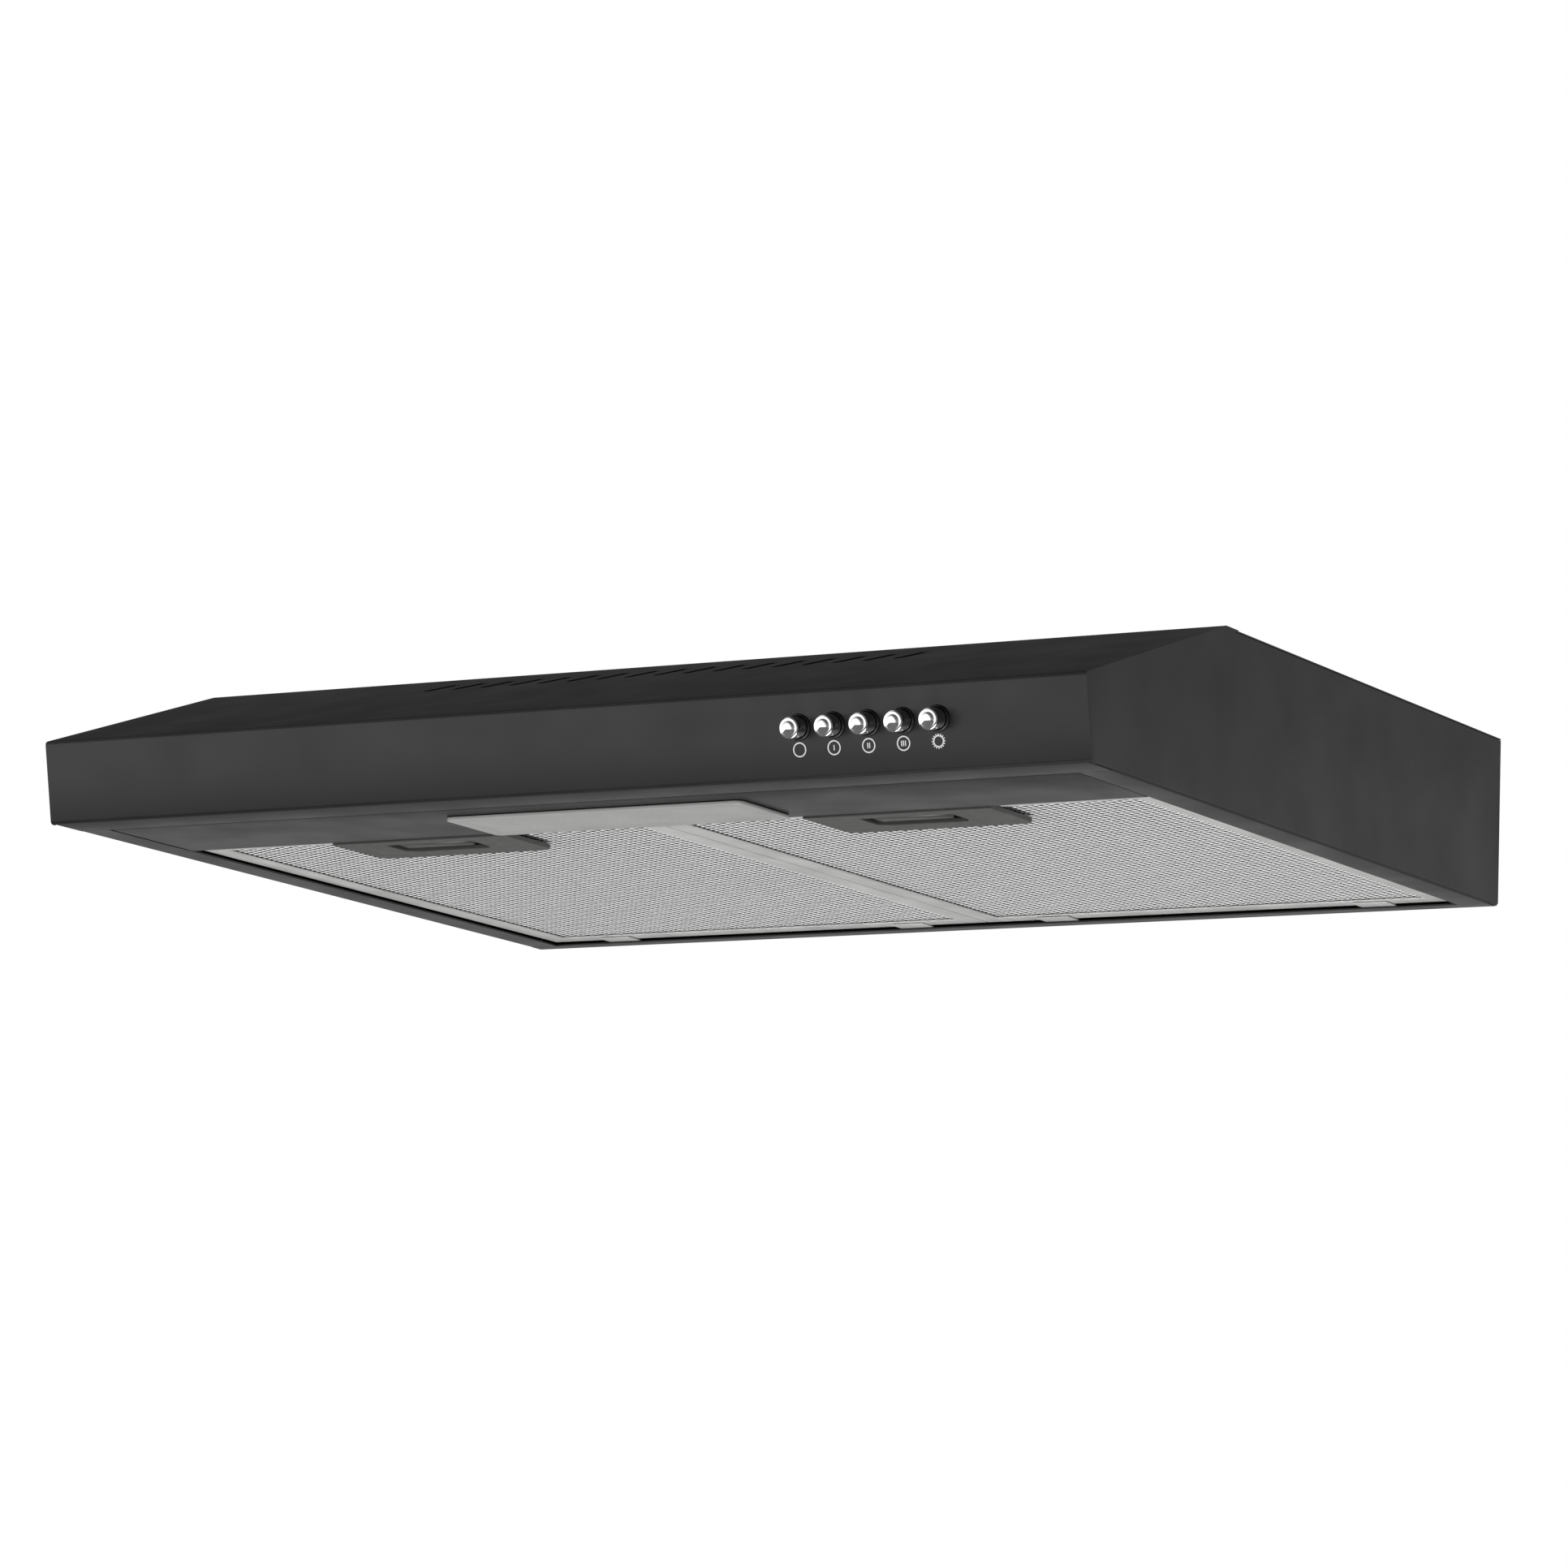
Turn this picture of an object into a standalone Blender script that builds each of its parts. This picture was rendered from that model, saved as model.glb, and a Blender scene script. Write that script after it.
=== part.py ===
"""Under-cabinet range hood, 600 mm wide, with two grease filters, a lamp and a five-button bank.

Metres, +Z up. The origin lies on the flat top face, on the centre line, FACE_TO_WALL in front of
the wall plane. The front of the hood looks along -Y.
"""

from math import atan2, cos, hypot, pi, radians, sin, tan

import bmesh
import bpy
from mathutils import Matrix, Vector

# Overall body
WIDTH = 0.600
DEPTH = 0.470
HEIGHT = 0.090
FACE_TO_WALL = 0.280
SHEET = 0.0008
GAP = 0.0003
FASCIA_HEIGHT = 0.0415
FASCIA_LEAN = 0.0086
CREST_SETBACK = 0.137
FOLD_RADIUS = 0.0020
FRONT_RIM = 0.024
SIDE_RIM = 0.019
REAR_RIM = 0.012
RIM_LIP = 0.006
SLOPE_FLANGE = 0.0045
FASCIA_FLANGE = 0.0030
SIDE_FOLD_RADIUS = 0.0018
REAR_TOP_FLANGE = 0.014

# Air outlet slots in the slope
VENT_COUNT = 17
VENT_PITCH = 0.0173
VENT_SHIFT = 0.004
VENT_LENGTH = 0.0225
VENT_WIDTH = 0.0055
VENT_LEAN = radians(21)
VENT_BELOW_CREST = 0.0327

# Holes for fixing the hood
SCREW_HOLE_RADIUS = 0.00275
SCREW_HOLE_SPACING_X = 0.540
SCREW_HOLE_SPACING_Y = 0.200
KEYHOLE_SPACING = 0.400
KEYHOLE_HEAD_RADIUS = 0.0050
KEYHOLE_NECK_RADIUS = 0.0025
KEYHOLE_RISE = 0.010
KEYHOLE_DROP = 0.032

# Light plate and lamp
PLATE_DEPTH = 0.0734
PLATE_FLANGE = 0.008
PLATE_CLEARANCE = 0.0006
PLATE_BEND = 0.0012
LENS_WIDTH = 0.173
LENS_DEPTH = 0.050
LENS_SETBACK = 0.041
LENS_THICKNESS = 0.0019
LENS_SKIN = 0.0012
LENS_BORDER = 0.0065
LENS_CORNER = 0.004
LAMP_OPENING_MARGIN = 0.0045
REFLECTOR_HEIGHT = 0.042
REFLECTOR_INSET = 0.0015
REFLECTOR_SLANT = 0.012
BULB_RISE = 0.0210
BULB_RADIUS = 0.0125
BULB_LENGTH = 0.066
BULB_CAP_RADIUS = 0.0068
BULB_CAP_LENGTH = 0.020
SOCKET_RADIUS = 0.0110
SOCKET_LENGTH = 0.034
SOCKET_GAP = 0.0020

# Push buttons
BUTTON_NAMES = ("button_off", "button_low", "button_medium", "button_high", "button_lamp")
BUTTON_FIRST_X = 0.1444
BUTTON_PITCH = 0.0189
BUTTON_RISE = 0.0250
BUTTON_RADIUS = 0.0052
BUTTON_PROUD = 0.0112
BUTTON_INSIDE = 0.0060
BUTTON_CLEARANCE = 0.0004
BUTTON_STEM_RADIUS = 0.0020
BUTTON_STEM_LENGTH = 0.0060
BUTTON_EDGE = 0.0015
BUTTON_DOME = 0.0009
COLLAR_WALL = 0.0007
COLLAR_PROUD = 0.0015
COLLAR_ROOT = 0.0020
BANK_DEPTH = 0.0240
BANK_HALF_HEIGHT = 0.0105
BANK_END = 0.0120
BANK_BACK = 0.0040

# Grease filters
FILTER_FRONT_GAP = 0.0015
FILTER_REAR_GAP = 0.0015
FILTER_SIDE_GAP = 0.0008
FILTER_RAISE = 0.0020
FILTER_HEIGHT = 0.0080
FILTER_BORDER = 0.0120
FILTER_WALL = 0.0010
FILTER_FLANGE = 0.0008
PAD_THICKNESS = 0.0015
TAB_WIDTH = 0.020
TAB_LENGTH = 0.018
TAB_THICKNESS = 0.0006
TAB_OVERHANG = 0.006
TAB_INSET = 0.045

# Filter handle and latch
HANDLE_WIDTH = 0.106
HANDLE_DEPTH = 0.0475
HANDLE_THICKNESS = 0.0024
HANDLE_LIFT = -0.0007
HANDLE_CORNER = 0.006
RECESS_WIDTH = 0.052
RECESS_SETBACK = 0.0090
RECESS_DEPTH = 0.0230
RECESS_CORNER = 0.006
POCKET_MARGIN = 0.0020
POCKET_DEPTH = 0.0360
POCKET_WALL = 0.0010
POCKET_HEADROOM = 0.0005
LATCH_WIDTH = 0.044
LATCH_DEPTH = 0.014
LATCH_THICKNESS = 0.0030
LATCH_SETBACK = 0.0095
TONGUE_WIDTH = 0.016
TONGUE_THICKNESS = 0.0018
TONGUE_REACH = 0.0040
TONGUE_OVERLAP = 0.0008
FINGER_BAR_DEPTH = 0.0115
FINGER_BAR_INSET = 0.0020
FINGER_BAR_LIFT = -0.0002
SLOT_CLEARANCE = 0.0005
LATCH_SPRING_RADIUS = 0.0020
LATCH_SPRING_RISE = 0.0026

# Duct collar and back-draught flaps
DUCT_TO_WALL = 0.160
DUCT_RADIUS = 0.060
COLLAR_THICKNESS = 0.0015
COLLAR_HEIGHT = 0.018
COLLAR_FLANGE = 0.012
LEDGE = 0.0020
FLAP_THICKNESS = 0.0010
FLAP_CLEARANCE = 0.0007
FLAP_EDGE = 0.0005
PIN_RADIUS = 0.0015
PIN_HEIGHT = 0.0060
KNUCKLE_RADIUS = 0.0030
KNUCKLE_LENGTH = 0.008
KNUCKLE_SPACING = 0.022
RUNNING_GAP = 0.0003

# Blower
FAN_TO_DUCT_X = 0.145
FAN_TO_DUCT_Y = 0.058
SCROLL_HEIGHT = 0.052
SCROLL_START = 0.088
SCROLL_END = 0.120
SCROLL_TONGUE = radians(50)
SCROLL_STEP = radians(10)
TONGUE_WALL = 0.0020
OUTLET_MARGIN = 0.004
WHEEL_RADIUS = 0.080
WHEEL_GAP = 0.0040
BLADE_COUNT = 28
BLADE_DEPTH = 0.0135
BLADE_THICKNESS = 0.0010
BLADE_LEAN = radians(28)
BLADE_EDGE = 0.0005
WHEEL_PLATE = 0.0015
RING_WIDTH = 0.010
INLET_RADIUS = 0.063
INLET_WALL = 0.0010
INLET_FLANGE = 0.008
INLET_LIP = 0.0035

# Motor
MOTOR_RADIUS = 0.0355
MOTOR_HEIGHT = 0.0285
MOTOR_WALL = 0.0010
SHIELD_THICKNESS = 0.0012
BEARING_HEIGHT = 0.0040
BEARING_GAP = 0.0008
SHAFT_RADIUS = 0.0040
HUB_RADIUS = 0.0090
HUB_LENGTH = 0.0120
BOSS_RADIUS = 0.0080
BOSS_HEIGHT = 0.0030
ROTOR_RADIUS = 0.0200
ROTOR_HEIGHT = 0.0150
AIR_GAP = 0.0008
STATOR_HEIGHT = 0.0170
BRACKET_THICKNESS = 0.0015
BRACKET_INSET = 0.0055
BRACKET_ARM_WIDTH = 0.014
BRACKET_REACH = 0.082
BRACKET_SCREW_CIRCLE = 0.076
SCREW_RADIUS = 0.0019
SCREW_HEAD_RADIUS = 0.0036
SCREW_HEAD_HEIGHT = 0.0020
SCREW_LENGTH = 0.0042

# Electrical parts under the top
TERMINAL_X = 0.165
TERMINAL_TO_WALL = 0.052
TERMINAL_WIDTH = 0.080
TERMINAL_DEPTH = 0.052
TERMINAL_HEIGHT = 0.030
TERMINAL_WALL = 0.0018
TERMINAL_COVER = 0.0015
GLAND_RADIUS = 0.0095
GLAND_NECK = 0.0070
GLAND_BORE = 0.0045
GLAND_HEIGHT = 0.0060
CAPACITOR_RADIUS = 0.0150
CAPACITOR_LENGTH = 0.052
CAPACITOR_X = 0.170
CAPACITOR_TO_WALL = 0.150
STRAP_WIDTH = 0.012
STRAP_FOOT = 0.012

# Springs
SPRING_WIRE = 0.0004
SPRING_RADIUS = 0.0034
SPRING_TURNS = 4
SPRING_POINTS = 8

# Fineness of round shapes
ROUND = 16
LARGE_ROUND = 36
CORNER_STEPS = 3
REACH = 0.010

# Worked out from the sizes above
FRONT_Y = FACE_TO_WALL - DEPTH
WALL_Y = FACE_TO_WALL
BOTTOM_Z = -HEIGHT
HALF = WIDTH / 2
SIDE_OUT = HALF - SHEET - GAP
SIDE_IN = SIDE_OUT - SHEET
SIDE_RIM_EDGE = HALF - SIDE_RIM
SLOPE_ANGLE = atan2(HEIGHT - FASCIA_HEIGHT, CREST_SETBACK + FASCIA_LEAN)
FASCIA_ANGLE = atan2(FASCIA_LEAN, FASCIA_HEIGHT)
OUTLINE = (
    (0.0, 0.0),
    (DEPTH, 0.0),
    (DEPTH, HEIGHT),
    (CREST_SETBACK, HEIGHT),
    (-FASCIA_LEAN, FASCIA_HEIGHT),
)
PLATE_FRONT = FRONT_RIM + PLATE_CLEARANCE
PLATE_REAR = PLATE_FRONT + PLATE_DEPTH
LENS_Z = BOTTOM_Z - GAP
DUCT_Y = WALL_Y - DUCT_TO_WALL
LID_TOP = -(SHEET + COLLAR_THICKNESS + 2 * GAP)
TRAY_TOP = LID_TOP - SHEET - GAP
TRAY_BOTTOM = TRAY_TOP - SCROLL_HEIGHT
FAN_X = -FAN_TO_DUCT_X
FAN_Y = DUCT_Y - FAN_TO_DUCT_Y
WHEEL_TOP = TRAY_TOP - WHEEL_GAP - GAP
WHEEL_BOTTOM = TRAY_BOTTOM + SHEET + WHEEL_GAP
MOTOR_TOP = TRAY_BOTTOM + MOTOR_HEIGHT
POCKET_FRONT = RECESS_SETBACK - POCKET_MARGIN
POCKET_HALF = RECESS_WIDTH / 2 + POCKET_MARGIN


# ---------------------------------------------------------------- outlines


def crossing(edge_a, edge_b):
    """Where two lines, each given as (point, direction), cross."""
    (ax, ay), (ux, uy) = edge_a
    (bx, by), (vx, vy) = edge_b
    t = ((bx - ax) * vy - (by - ay) * vx) / (ux * vy - uy * vx)
    return ax + t * ux, ay + t * uy


def shifted(start, end, distance):
    """The line from start to end, moved to its left by the distance."""
    dx, dy = end[0] - start[0], end[1] - start[1]
    length = hypot(dx, dy)
    dx, dy = dx / length, dy / length
    return (start[0] - dy * distance, start[1] + dx * distance), (dx, dy)


def inset(points, distances):
    """A counter-clockwise outline whose edge i, from point i to the next, is moved inwards."""
    count = len(points)
    edges = [shifted(points[i], points[(i + 1) % count], distances[i]) for i in range(count)]
    return [crossing(edges[i - 1], edges[i]) for i in range(count)]


def rounded(points, radii, steps=CORNER_STEPS):
    """The outline with an arc of the given radius in place of each corner."""
    result = []
    count = len(points)
    for i, radius in enumerate(radii):
        corner = Vector(points[i])
        if radius == 0:
            result.append(tuple(corner))
            continue
        back = (Vector(points[i - 1]) - corner).normalized()
        ahead = (Vector(points[(i + 1) % count]) - corner).normalized()
        half_angle = back.angle(ahead) / 2
        centre = corner + (back + ahead).normalized() * radius / sin(half_angle)
        start = corner + back * radius / tan(half_angle) - centre
        end = corner + ahead * radius / tan(half_angle) - centre
        first = atan2(start.y, start.x)
        turn = (atan2(end.y, end.x) - first + pi) % (2 * pi) - pi
        for step in range(steps + 1):
            angle = first + turn * step / steps
            result.append((centre.x + radius * cos(angle), centre.y + radius * sin(angle)))
    return result


def rectangle(x_low, y_low, x_high, y_high):
    return [(x_low, y_low), (x_high, y_low), (x_high, y_high), (x_low, y_high)]


# ---------------------------------------------------------------- solids


def clear_scene():
    for obj in list(bpy.data.objects):
        bpy.data.objects.remove(obj, do_unlink=True)


def new_collection(name):
    collection = bpy.data.collections.new(name)
    bpy.context.scene.collection.children.link(collection)
    return collection


def new_object(name, data):
    obj = bpy.data.objects.new(name, data)
    PARTS.objects.link(obj)
    return obj


def mesh_of(bm):
    bmesh.ops.recalc_face_normals(bm, faces=bm.faces[:])
    mesh = bpy.data.meshes.new("mesh")
    bm.to_mesh(mesh)
    bm.free()
    return mesh


# A prism's outline lies in two of the world's axes, and its height along the third.
PRISM_TURNS = {
    "X": Matrix(((0, 0, 1, 0), (1, 0, 0, 0), (0, 1, 0, 0), (0, 0, 0, 1))),
    "Z": Matrix.Identity(4),
}


def prism(name, points, low, high, along="Z", holes=()):
    """The outline filled and given a height from low to high along X (outline in Y, Z) or Z."""
    curve = bpy.data.curves.new(name, "CURVE")
    curve.dimensions = "2D"
    curve.fill_mode = "BOTH"
    curve.extrude = (high - low) / 2
    for loop in (points, *holes):
        spline = curve.splines.new("POLY")
        spline.points.add(len(loop) - 1)
        for point, (u, v) in zip(spline.points, loop):
            point.co = (u, v, 0, 1)
        spline.use_cyclic_u = True
    drawn = bpy.data.objects.new(name, curve)
    PARTS.objects.link(drawn)
    drawn.matrix_world = PRISM_TURNS[along] @ Matrix.Translation((0, 0, (low + high) / 2))
    return welded_mesh(drawn)


def welded_mesh(drawn):
    """The curve object made a mesh object with its caps welded on."""
    name = drawn.name
    bpy.context.view_layer.update()
    graph = bpy.context.evaluated_depsgraph_get()
    mesh = bpy.data.meshes.new_from_object(drawn.evaluated_get(graph))
    bm = bmesh.new()
    bm.from_mesh(mesh)
    bmesh.ops.remove_doubles(bm, verts=bm.verts[:], dist=1e-6)
    bpy.data.meshes.remove(mesh)
    matrix = drawn.matrix_world.copy()
    bpy.data.objects.remove(drawn)
    obj = new_object(name, mesh_of(bm))
    obj.matrix_world = matrix
    return obj


def box(name, low, high):
    size = [high[i] - low[i] for i in range(3)]
    bm = bmesh.new()
    bmesh.ops.create_cube(bm, size=1)
    bmesh.ops.scale(bm, vec=size, verts=bm.verts[:])
    obj = new_object(name, mesh_of(bm))
    obj.location = [(high[i] + low[i]) / 2 for i in range(3)]
    return obj


def cylinder(name, radius, start, end, count=ROUND):
    """A round bar between two points."""
    start, end = Vector(start), Vector(end)
    bm = bmesh.new()
    length = (end - start).length
    bmesh.ops.create_cone(
        bm, cap_ends=True, segments=count, radius1=radius, radius2=radius, depth=length
    )
    obj = new_object(name, mesh_of(bm))
    turn = (end - start).to_track_quat("Z", "Y").to_matrix().to_4x4()
    obj.matrix_world = Matrix.Translation((start + end) / 2) @ turn
    return obj


def turned(name, profile, placement, count=ROUND, ring=False):
    """A solid of revolution about its own Z. The profile runs down its outer side as (radius, z)."""
    mesh = bpy.data.meshes.new(name)
    edges = [(i, i + 1) for i in range(len(profile) - 1)]
    if ring:
        edges.append((len(profile) - 1, 0))
    mesh.from_pydata([(r, 0, z) for r, z in profile], edges, [])
    obj = new_object(name, mesh)
    screw = obj.modifiers.new("turn", "SCREW")
    screw.steps = count
    screw.render_steps = count
    screw.use_merge_vertices = True
    screw.merge_threshold = 1e-5
    screw.use_smooth_shade = True
    obj.matrix_world = placement
    return obj


def slot_outline(centre, length, width, turn):
    """A slot with round ends, its length turned from +Y towards +X."""
    half = length / 2 - width / 2
    points = []
    for end in (1, -1):
        for step in range(5):
            angle = pi * step / 4 + (0 if end == 1 else pi)
            points.append((width / 2 * cos(angle), end * half + width / 2 * sin(angle)))
    return [
        (centre[0] + x * cos(turn) + y * sin(turn), centre[1] - x * sin(turn) + y * cos(turn))
        for x, y in points
    ]


def modify(target, tool, operation):
    modifier = target.modifiers.new(operation.lower(), "BOOLEAN")
    modifier.operation = operation
    modifier.object = tool
    modifier.solver = "EXACT"
    for collection in list(tool.users_collection):
        collection.objects.unlink(tool)
    CUTTERS.objects.link(tool)
    tool.hide_render = True
    tool.display_type = "WIRE"


def cut(target, *tools):
    for tool in tools:
        modify(target, tool, "DIFFERENCE")


def join(target, *tools):
    for tool in tools:
        modify(target, tool, "UNION")


def bevel_edges(obj, chosen, radius):
    """Rounds the straight edges whose two ends both satisfy the test, given in world space."""
    bpy.context.view_layer.update()
    bm = bmesh.new()
    bm.from_mesh(obj.data)
    world = obj.matrix_world
    edges = [e for e in bm.edges if all(chosen(world @ v.co) for v in e.verts)]
    bmesh.ops.bevel(
        bm, geom=edges, offset=radius, segments=CORNER_STEPS, profile=0.5, affect="EDGES"
    )
    bm.to_mesh(obj.data)
    bm.free()


def set_origin(obj, point):
    """Moves a piece's own origin to a point in the world, without moving the piece."""
    bpy.context.view_layer.update()
    offset = obj.matrix_world.inverted() @ Vector(point)
    obj.data.transform(Matrix.Translation(-offset))
    obj.matrix_world = obj.matrix_world @ Matrix.Translation(offset)


def parent_to(empty, *pieces):
    bpy.context.view_layer.update()
    for piece in pieces:
        piece.parent = empty
        piece.matrix_parent_inverse = empty.matrix_world.inverted()


def pivot(name, point):
    empty = new_object(name, None)
    empty.location = point
    empty.empty_display_size = 0.01
    return empty


def spring(name, placement, length, radius=SPRING_RADIUS):
    """An open coil along its own +Z, from z = 0 to the length."""
    curve = bpy.data.curves.new(name, "CURVE")
    curve.dimensions = "3D"
    curve.bevel_depth = SPRING_WIRE
    curve.bevel_resolution = 0
    curve.use_fill_caps = True
    spline = curve.splines.new("POLY")
    count = SPRING_TURNS * SPRING_POINTS + 1
    spline.points.add(count - 1)
    travel = length - 2 * SPRING_WIRE
    for i, point in enumerate(spline.points):
        angle = 2 * pi * i / SPRING_POINTS
        height = SPRING_WIRE + travel * i / (count - 1)
        point.co = (radius * cos(angle), radius * sin(angle), height, 1)
    drawn = bpy.data.objects.new(name, curve)
    PARTS.objects.link(drawn)
    drawn.matrix_world = placement
    return welded_mesh(drawn)


def paint(obj, material):
    obj.data.materials.clear()
    obj.data.materials.append(material)


def material(name, colour, metallic, roughness, alpha=1.0):
    finish = bpy.data.materials.new(name)
    finish.use_nodes = True
    shader = finish.node_tree.nodes["Principled BSDF"]
    shader.inputs["Base Color"].default_value = (*colour, 1)
    shader.inputs["Metallic"].default_value = metallic
    shader.inputs["Roughness"].default_value = roughness
    shader.inputs["Alpha"].default_value = alpha
    return finish


def section(points):
    """Outline points given from the bottom front edge, in the world's Y and Z."""
    return [(FRONT_Y + y, BOTTOM_Z + z) for y, z in points]


def mirrored_span(side, near, far):
    """The X range from near to far, on the right (side 1) or the left (side -1)."""
    return sorted((side * near, side * far))


def fascia_frame(x, rise):
    """A frame on the fascia's outer face: +Z points into the hood and +Y down the fascia."""
    place = (x, FRONT_Y - rise * sin(FASCIA_ANGLE), BOTTOM_Z + rise * cos(FASCIA_ANGLE))
    return Matrix.Translation(place) @ Matrix.Rotation(FASCIA_ANGLE - pi / 2, 4, "X")


def slope_frame():
    """A frame on the slope's outer face: its origin on the crest, +Y up the slope."""
    place = (0, FRONT_Y + CREST_SETBACK, 0)
    return Matrix.Translation(place) @ Matrix.Rotation(SLOPE_ANGLE, 4, "X")


def place_in(frame, *pieces):
    for piece in pieces:
        piece.matrix_basis = frame @ piece.matrix_basis


# ---------------------------------------------------------------- body sheets


def make_top_sheet():
    """Front rim, fascia, slope and flat top, folded from one sheet."""
    outer = rounded(OUTLINE, (FOLD_RADIUS, 0, 0, FOLD_RADIUS, FOLD_RADIUS))
    sheet = prism("top_sheet", section(outer), -HALF, HALF, "X")
    inner = inset(OUTLINE, (SHEET, -REACH, SHEET, SHEET, SHEET))
    cavity = [
        inner[0],
        (FRONT_RIM - SHEET, SHEET),
        (FRONT_RIM - SHEET, RIM_LIP),
        (FRONT_RIM, RIM_LIP),
        (FRONT_RIM, -REACH),
        (DEPTH + REACH, -REACH),
        *inner[2:],
    ]
    bend = FOLD_RADIUS - SHEET
    cavity = rounded(cavity, (bend, 0, 0, 0, 0, 0, 0, bend, bend))
    reach = HALF - SHEET
    cut(sheet, prism("top_cavity", section(cavity), -reach, reach, "X"))
    window = inset(OUTLINE, (-REACH, -REACH, -REACH, SLOPE_FLANGE, FASCIA_FLANGE))
    for side in (-1, 1):
        low, high = mirrored_span(side, SIDE_OUT, HALF + REACH)
        cut(sheet, prism("side_window", section(window), low, high, "X"))
        low, high = mirrored_span(side, SIDE_IN - GAP, SIDE_OUT + GAP / 2)
        start = FRONT_Y + SHEET / cos(FASCIA_ANGLE)
        end = FRONT_Y + FRONT_RIM + REACH
        cut(
            sheet,
            box(
                "rim_end",
                (low, start, BOTTOM_Z - REACH),
                (high, end, BOTTOM_Z + RIM_LIP + REACH / 10),
            ),
        )
    cut_top_holes(sheet)
    return sheet


def cut_top_holes(sheet):
    collar = collar_radius() + GAP
    for i in range(len(BUTTON_NAMES)):
        hole = cylinder("button_hole", collar, (0, 0, -REACH), (0, 0, REACH))
        place_in(fascia_frame(button_x(i), BUTTON_RISE), hole)
        cut(sheet, hole)
    middle = (VENT_COUNT - 1) / 2
    vents = [
        slot_outline(
            (VENT_SHIFT + (i - middle) * VENT_PITCH, -VENT_BELOW_CREST),
            VENT_LENGTH,
            VENT_WIDTH,
            VENT_LEAN,
        )
        for i in range(VENT_COUNT)
    ]
    cutter = prism("vents", vents[0], -REACH, REACH, holes=vents[1:])
    place_in(slope_frame(), cutter)
    cut(sheet, cutter)
    cut(sheet, upright("duct_hole", 0, DUCT_Y, DUCT_RADIUS + GAP, LARGE_ROUND))
    cut(sheet, upright("gland_hole", TERMINAL_X, terminal_y(), GLAND_NECK + GAP))
    for x in (-SCREW_HOLE_SPACING_X / 2, SCREW_HOLE_SPACING_X / 2):
        for y in (DUCT_Y - SCREW_HOLE_SPACING_Y / 2, DUCT_Y + SCREW_HOLE_SPACING_Y / 2):
            cut(sheet, upright("screw_hole", x, y, SCREW_HOLE_RADIUS, ROUND // 2))


def upright(name, x, y, radius, count=ROUND, low=-REACH, high=REACH):
    return cylinder(name, radius, (x, y, low), (x, y, high), count)


def make_side_panel(name, side):
    """A pan with an inward flange along its bottom, top and slope."""
    lap = SHEET + GAP
    outline = inset(OUTLINE, (0, 0, lap, lap, lap))
    low, high = mirrored_span(side, SIDE_RIM_EDGE, SIDE_OUT)
    bend = FOLD_RADIUS - lap
    panel = prism(name, section(rounded(outline, (0, 0, 0, bend, bend))), low, high, "X")

    def on_bottom_edge(point):
        return abs(abs(point.x) - SIDE_OUT) < 1e-5 and abs(point.z - BOTTOM_Z) < 1e-5

    bevel_edges(panel, on_bottom_edge, SIDE_FOLD_RADIUS)
    inner = inset(outline, (SHEET, -REACH, SHEET, SHEET, -REACH))
    rim_end = DEPTH - REAR_RIM - GAP
    cavity = [
        (inner[0][0], -REACH),
        (FRONT_RIM + GAP, -REACH),
        (FRONT_RIM + GAP, SHEET),
        (rim_end, SHEET),
        (rim_end, -REACH),
        (DEPTH + REACH, -REACH),
        *inner[2:],
    ]
    low, high = mirrored_span(side, SIDE_RIM_EDGE - REACH, SIDE_IN)
    cut(panel, prism(name + "_cavity", section(cavity), low, high, "X"))
    return panel


def make_rear_panel():
    """The wall side, with the rear rim below and a flange under the top."""
    top = HEIGHT - SHEET - GAP
    outline = [
        (DEPTH - REAR_RIM, 0),
        (DEPTH, 0),
        (DEPTH, top),
        (DEPTH - REAR_TOP_FLANGE, top),
        (DEPTH - REAR_TOP_FLANGE, top - SHEET),
        (DEPTH - SHEET, top - SHEET),
        (DEPTH - SHEET, SHEET),
        (DEPTH - REAR_RIM, SHEET),
    ]
    bend = FOLD_RADIUS - SHEET
    outline = rounded(outline, (0, FOLD_RADIUS, FOLD_RADIUS, 0, 0, bend, bend, 0))
    reach = SIDE_IN - GAP
    panel = prism("rear_panel", section(outline), -reach, reach, "X")
    notch_z = -SHEET - GAP - SHEET - GAP
    for side in (-1, 1):
        low, high = mirrored_span(side, SIDE_RIM_EDGE - GAP, HALF + REACH)
        start = WALL_Y - REAR_TOP_FLANGE - REACH
        cut(panel, box("flange_notch", (low, start, notch_z), (high, WALL_Y + REACH, REACH)))
        cut_keyhole(panel, side * KEYHOLE_SPACING / 2)
    return panel


def cut_keyhole(panel, x):
    low = -KEYHOLE_DROP
    high = low + KEYHOLE_RISE
    for name, z, radius in (
        ("keyhole_head", low, KEYHOLE_HEAD_RADIUS),
        ("keyhole_neck", high, KEYHOLE_NECK_RADIUS),
    ):
        start, end = (x, WALL_Y - REACH, z), (x, WALL_Y + REACH, z)
        cut(panel, cylinder(name, radius, start, end, ROUND // 2))
    neck = KEYHOLE_NECK_RADIUS * 0.99
    cut(panel, box("keyhole_slot", (x - neck, WALL_Y - REACH, low), (x + neck, WALL_Y + REACH, high)))


# ---------------------------------------------------------------- light plate and lamp


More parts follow.
